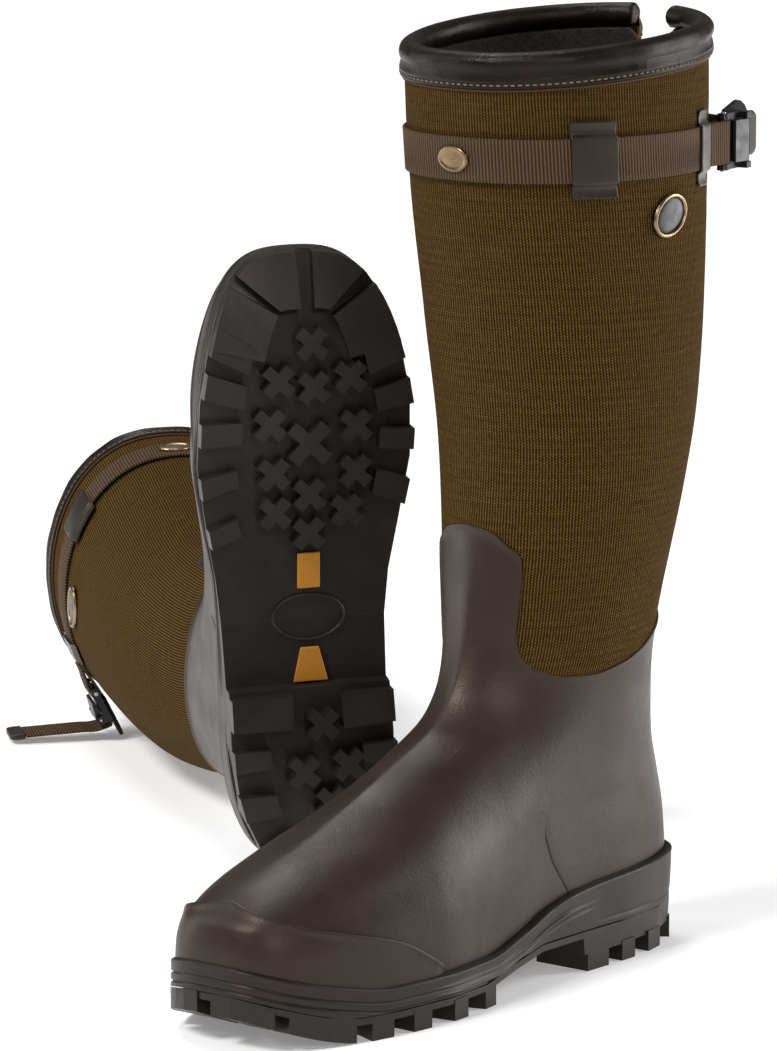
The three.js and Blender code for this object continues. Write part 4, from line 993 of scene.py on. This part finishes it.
def make_buckle(side):
    body, lever = f"{side}_boot", f"{side}_lever"
    start, turn = buckle_place(side)

    def place(points):
        return points @ turn.T + start

    def flat_map(obj):
        """Maps a CAD copy by its place in the buckle's frame."""
        mesh = obj.data
        flat = np.empty(len(mesh.vertices) * 3, np.float32)
        mesh.vertices.foreach_get("co", flat)
        own = (to_boot(flat.reshape(-1, 3).astype(float), side) - start) @ turn
        layer = mesh.uv_layers.get("UVMap") or mesh.uv_layers.new(name="UVMap")
        index = np.empty(len(mesh.loops), np.int32)
        mesh.loops.foreach_get("vertex_index", index)
        layer.data.foreach_set("uv", own[index][:, [0, 2]].astype(np.float32).ravel())

    fold = np.radians(np.linspace(-105, 105, 12))
    loop = [(12 + 2.35 * math.cos(a), 2.35 * math.sin(a)) for a in fold]
    path = [(-2.9, -0.75), (2, -1.0), (6.5, -1.8), *loop, (6.5, 1.8), (2, 1.0), (-2.9, 0.75)]
    obj = ribbon(f"{side}_strap_end_webbing", side, path, 2 * STRAP_HALF, 1.45, place)
    finish_piece(obj, body, WEBBING, "webbing", f"{side}_strap_end")

    back = np.linalg.inv(turn)

    def lead(angle, out):
        return ((skin(angle, STRAP_HEIGHT, out) - start) @ back.T)[:2]

    if side == "left":
        tail = [lead(8.5, 1.2), lead(14, 2.4), (28, 5.4), (40, 5.6), (50, 6.2)]
        tip = [(50.4, 6.2), (54, 6.4), (58, 6.6)]
    else:
        tail = [(30.4, 0.8), (32.5, -0.9), (31.7, -7), (27.7, -16.2), (20.5, -32.7), (15.7, -43.8)]
        tip = [(15.5, -44.3), (14, -48), (12.4, -51.6)]
    obj = ribbon(f"{side}_strap_tail_webbing", side, tail, 2 * STRAP_HALF, 1.5, place)
    finish_piece(obj, body, WEBBING, "webbing", f"{side}_strap_tail")
    obj = ribbon(f"{side}_tail_tip_leather", side, tip, 20.6, 2.9, place, round_end=True)
    finish_piece(obj, body, LOOP, "loop_leather", f"{side}_tail_tip")

    copies = (("buckle_frame", 0.5, BUCKLE, "buckle_plastic", body),
              ("buckle_lever", 0.4, BUCKLE, "buckle_plastic", lever),
              ("pull_tab", 0.5, BLACK_WEBBING, "ribbed_webbing", body),
              ("buckle_pin", 0.3, STEEL, "steel", body),
              ("lever_pin", 0.2, STEEL, "steel", body))
    for part, bevel, material, slot, rider in copies:
        node = f"{side}_{part}"
        obj = cad_copy(f"{side}_{part}_made", node, bevel)
        flat_map(obj)
        finish_piece(obj, rider, material, slot, node)


# ---- Sole ----

def make_sole(side):
    body = f"{side}_boot"
    obj = cad_copy(f"{side}_outsole_tread", f"{side}_outsole", 1.0, 30, 2)
    finish_piece(obj, body, TREAD, "tread_rubber", f"{side}_outsole")
    for part in ("front", "rear"):
        node = f"{side}_sole_insert_{part}"
        obj = cad_copy(f"{node}_block", node, 0.5)
        finish_piece(obj, body, ORANGE, "orange_rubber", node)
    turn = np.radians(np.arange(0, 360, 3.75))
    around = np.radians(np.arange(0, 360, 45))
    centre_y, a, b, r = 18.0, 17.5, 11.3, 0.8
    plan = np.stack([a * np.cos(turn), centre_y + b * np.sin(turn)], -1)
    away = np.stack([np.cos(turn) / a, np.sin(turn) / b], -1)
    away /= np.linalg.norm(away, axis=1, keepdims=True)
    tube = np.empty((len(turn), len(around), 3))
    tube[..., :2] = plan[:, None] + away[:, None] * (r * np.cos(around))[None, :, None]
    tube[..., 2] = plate_bottom(tube[..., 1]) - 0.2 - r * 1.2 * np.sin(around)
    ring = swept(f"{side}_waist_oval", side, tube, ring=True)
    finish_piece(ring, body, TREAD, "tread_rubber")


for side in SIDES:
    make_shaft(side)
    make_shell(side)
    make_toe_cap(side)
    make_counter(side)
    make_rand(side)
    make_lining(side)
    make_footbed(side)
    make_gusset(side)
    make_collar(side)
    make_strap(side)
    make_loop(side, "side_loop_leather", 125, 22, LOOP, "loop_leather", f"{side}_side_loop")
    make_loop(side, "back_loop_metal", 67, 11, LOOP_METAL, "loop_metal", f"{side}_back_loop")
    make_badges(side)
    make_buckle(side)
    make_sole(side)
    for part, material in (("midsole", FOAM), ("shank_plate", STEEL), ("insole_board", BOARD)):
        node = frame["nodes"][f"{side}_{part}"]
        node.data.materials.clear()
        node.data.materials.append(material)


# ---- Studio ----

# Fitted by least squares to points picked from the photograph, but for the distance.
CAMERA_BEARING, CAMERA_DIP = 39.9, 9.95     # degrees from straight ahead, and down
CAMERA_DISTANCE = 2.83
AIM_ACROSS, AIM_HEIGHT = -0.0252, 0.2108
SENSOR_HEIGHT, LENS = 36, 214.5271          # millimetres


def make_floor():
    mesh = bpy.data.meshes.new("floor")
    span = 6.0
    mesh.from_pydata([(-span, -span, 0), (span, -span, 0), (span, span, 0), (-span, span, 0)], [],
                     [(0, 1, 2, 3)])
    floor = bpy.data.objects.new("floor", mesh)
    bpy.context.scene.collection.objects.link(floor)
    paint = bpy.data.materials.new("floor_paint")
    paint.use_nodes = True
    shader = paint.node_tree.nodes["Principled BSDF"]
    shader.inputs["Base Color"].default_value = (0.9, 0.9, 0.9, 1)
    shader.inputs["Roughness"].default_value = 0.9
    shader.inputs["Emission Color"].default_value = (1, 1, 1, 1)
    shader.inputs["Emission Strength"].default_value = 0.22
    mesh.materials.append(paint)


def make_camera():
    shift = Vector(SHIFT) / 1000
    bearing, dip = math.radians(CAMERA_BEARING), math.radians(CAMERA_DIP)
    forward = Vector((math.sin(bearing) * math.cos(dip), -math.cos(bearing) * math.cos(dip),
                      math.sin(dip)))
    right = Vector((math.cos(bearing), math.sin(bearing), 0))
    target = right * AIM_ACROSS + Vector((0, 0, AIM_HEIGHT)) + shift
    data = bpy.data.cameras.new("camera")
    data.sensor_fit = "VERTICAL"
    data.sensor_height = SENSOR_HEIGHT
    data.lens = LENS
    data.clip_end = 50
    camera = bpy.data.objects.new("camera", data)
    camera.location = target + forward * CAMERA_DISTANCE
    camera.rotation_euler = (-forward).to_track_quat("-Z", "Y").to_euler()
    bpy.context.scene.collection.objects.link(camera)
    bpy.context.scene.camera = camera
    return target, right, forward


def sun_light(name, towards_sun, strength, softness):
    data = bpy.data.lights.new(name, "SUN")
    data.energy = strength
    data.angle = math.radians(softness)
    light = bpy.data.objects.new(name, data)
    light.rotation_euler = towards_sun.to_track_quat("Z", "Y").to_euler()
    bpy.context.scene.collection.objects.link(light)


def area_light(name, where, target, size, power):
    data = bpy.data.lights.new(name, "AREA")
    data.shape = "RECTANGLE"
    data.size, data.size_y = size
    data.energy = power
    light = bpy.data.objects.new(name, data)
    light.location = where
    light.rotation_euler = (Vector(where) - Vector(target)).to_track_quat("Z", "Y").to_euler()
    bpy.context.scene.collection.objects.link(light)


make_floor()
aim, right_way, towards = make_camera()
up_way = Vector((0, 0, 1))
level_way = Vector((towards.x, towards.y, 0)).normalized()
sun_light("key", level_way * 0.7 - right_way * 0.8 + up_way * 1.15, 2.2, 16)
sun_light("fill", level_way * 1.0 + right_way * 0.35 + up_way * 0.55, 0.75, 20)
sun_light("top", up_way - level_way * 0.5 - right_way * 0.2, 0.9, 25)
area_light("side", aim + right_way * 1.2 - level_way * 0.35 + up_way * 0.25, aim, (0.35, 1.3), 12)
area_light("edge", aim - right_way * 1.3 - level_way * 0.4 + up_way * 0.35, aim, (0.3, 1.3), 6)

world = bpy.data.worlds.new("studio")
world.use_nodes = True
backdrop = world.node_tree.nodes["Background"]
backdrop.inputs["Color"].default_value = (1, 1, 1, 1)
seen = world.node_tree.nodes.new("ShaderNodeLightPath")
strength = world.node_tree.nodes.new("ShaderNodeMapRange")
strength.inputs["To Min"].default_value = 0.12
strength.inputs["To Max"].default_value = 1.0
world.node_tree.links.new(seen.outputs["Is Camera Ray"], strength.inputs["Value"])
world.node_tree.links.new(strength.outputs["Result"], backdrop.inputs["Strength"])
bpy.context.scene.world = world
bpy.context.scene.view_settings.view_transform = "Standard"
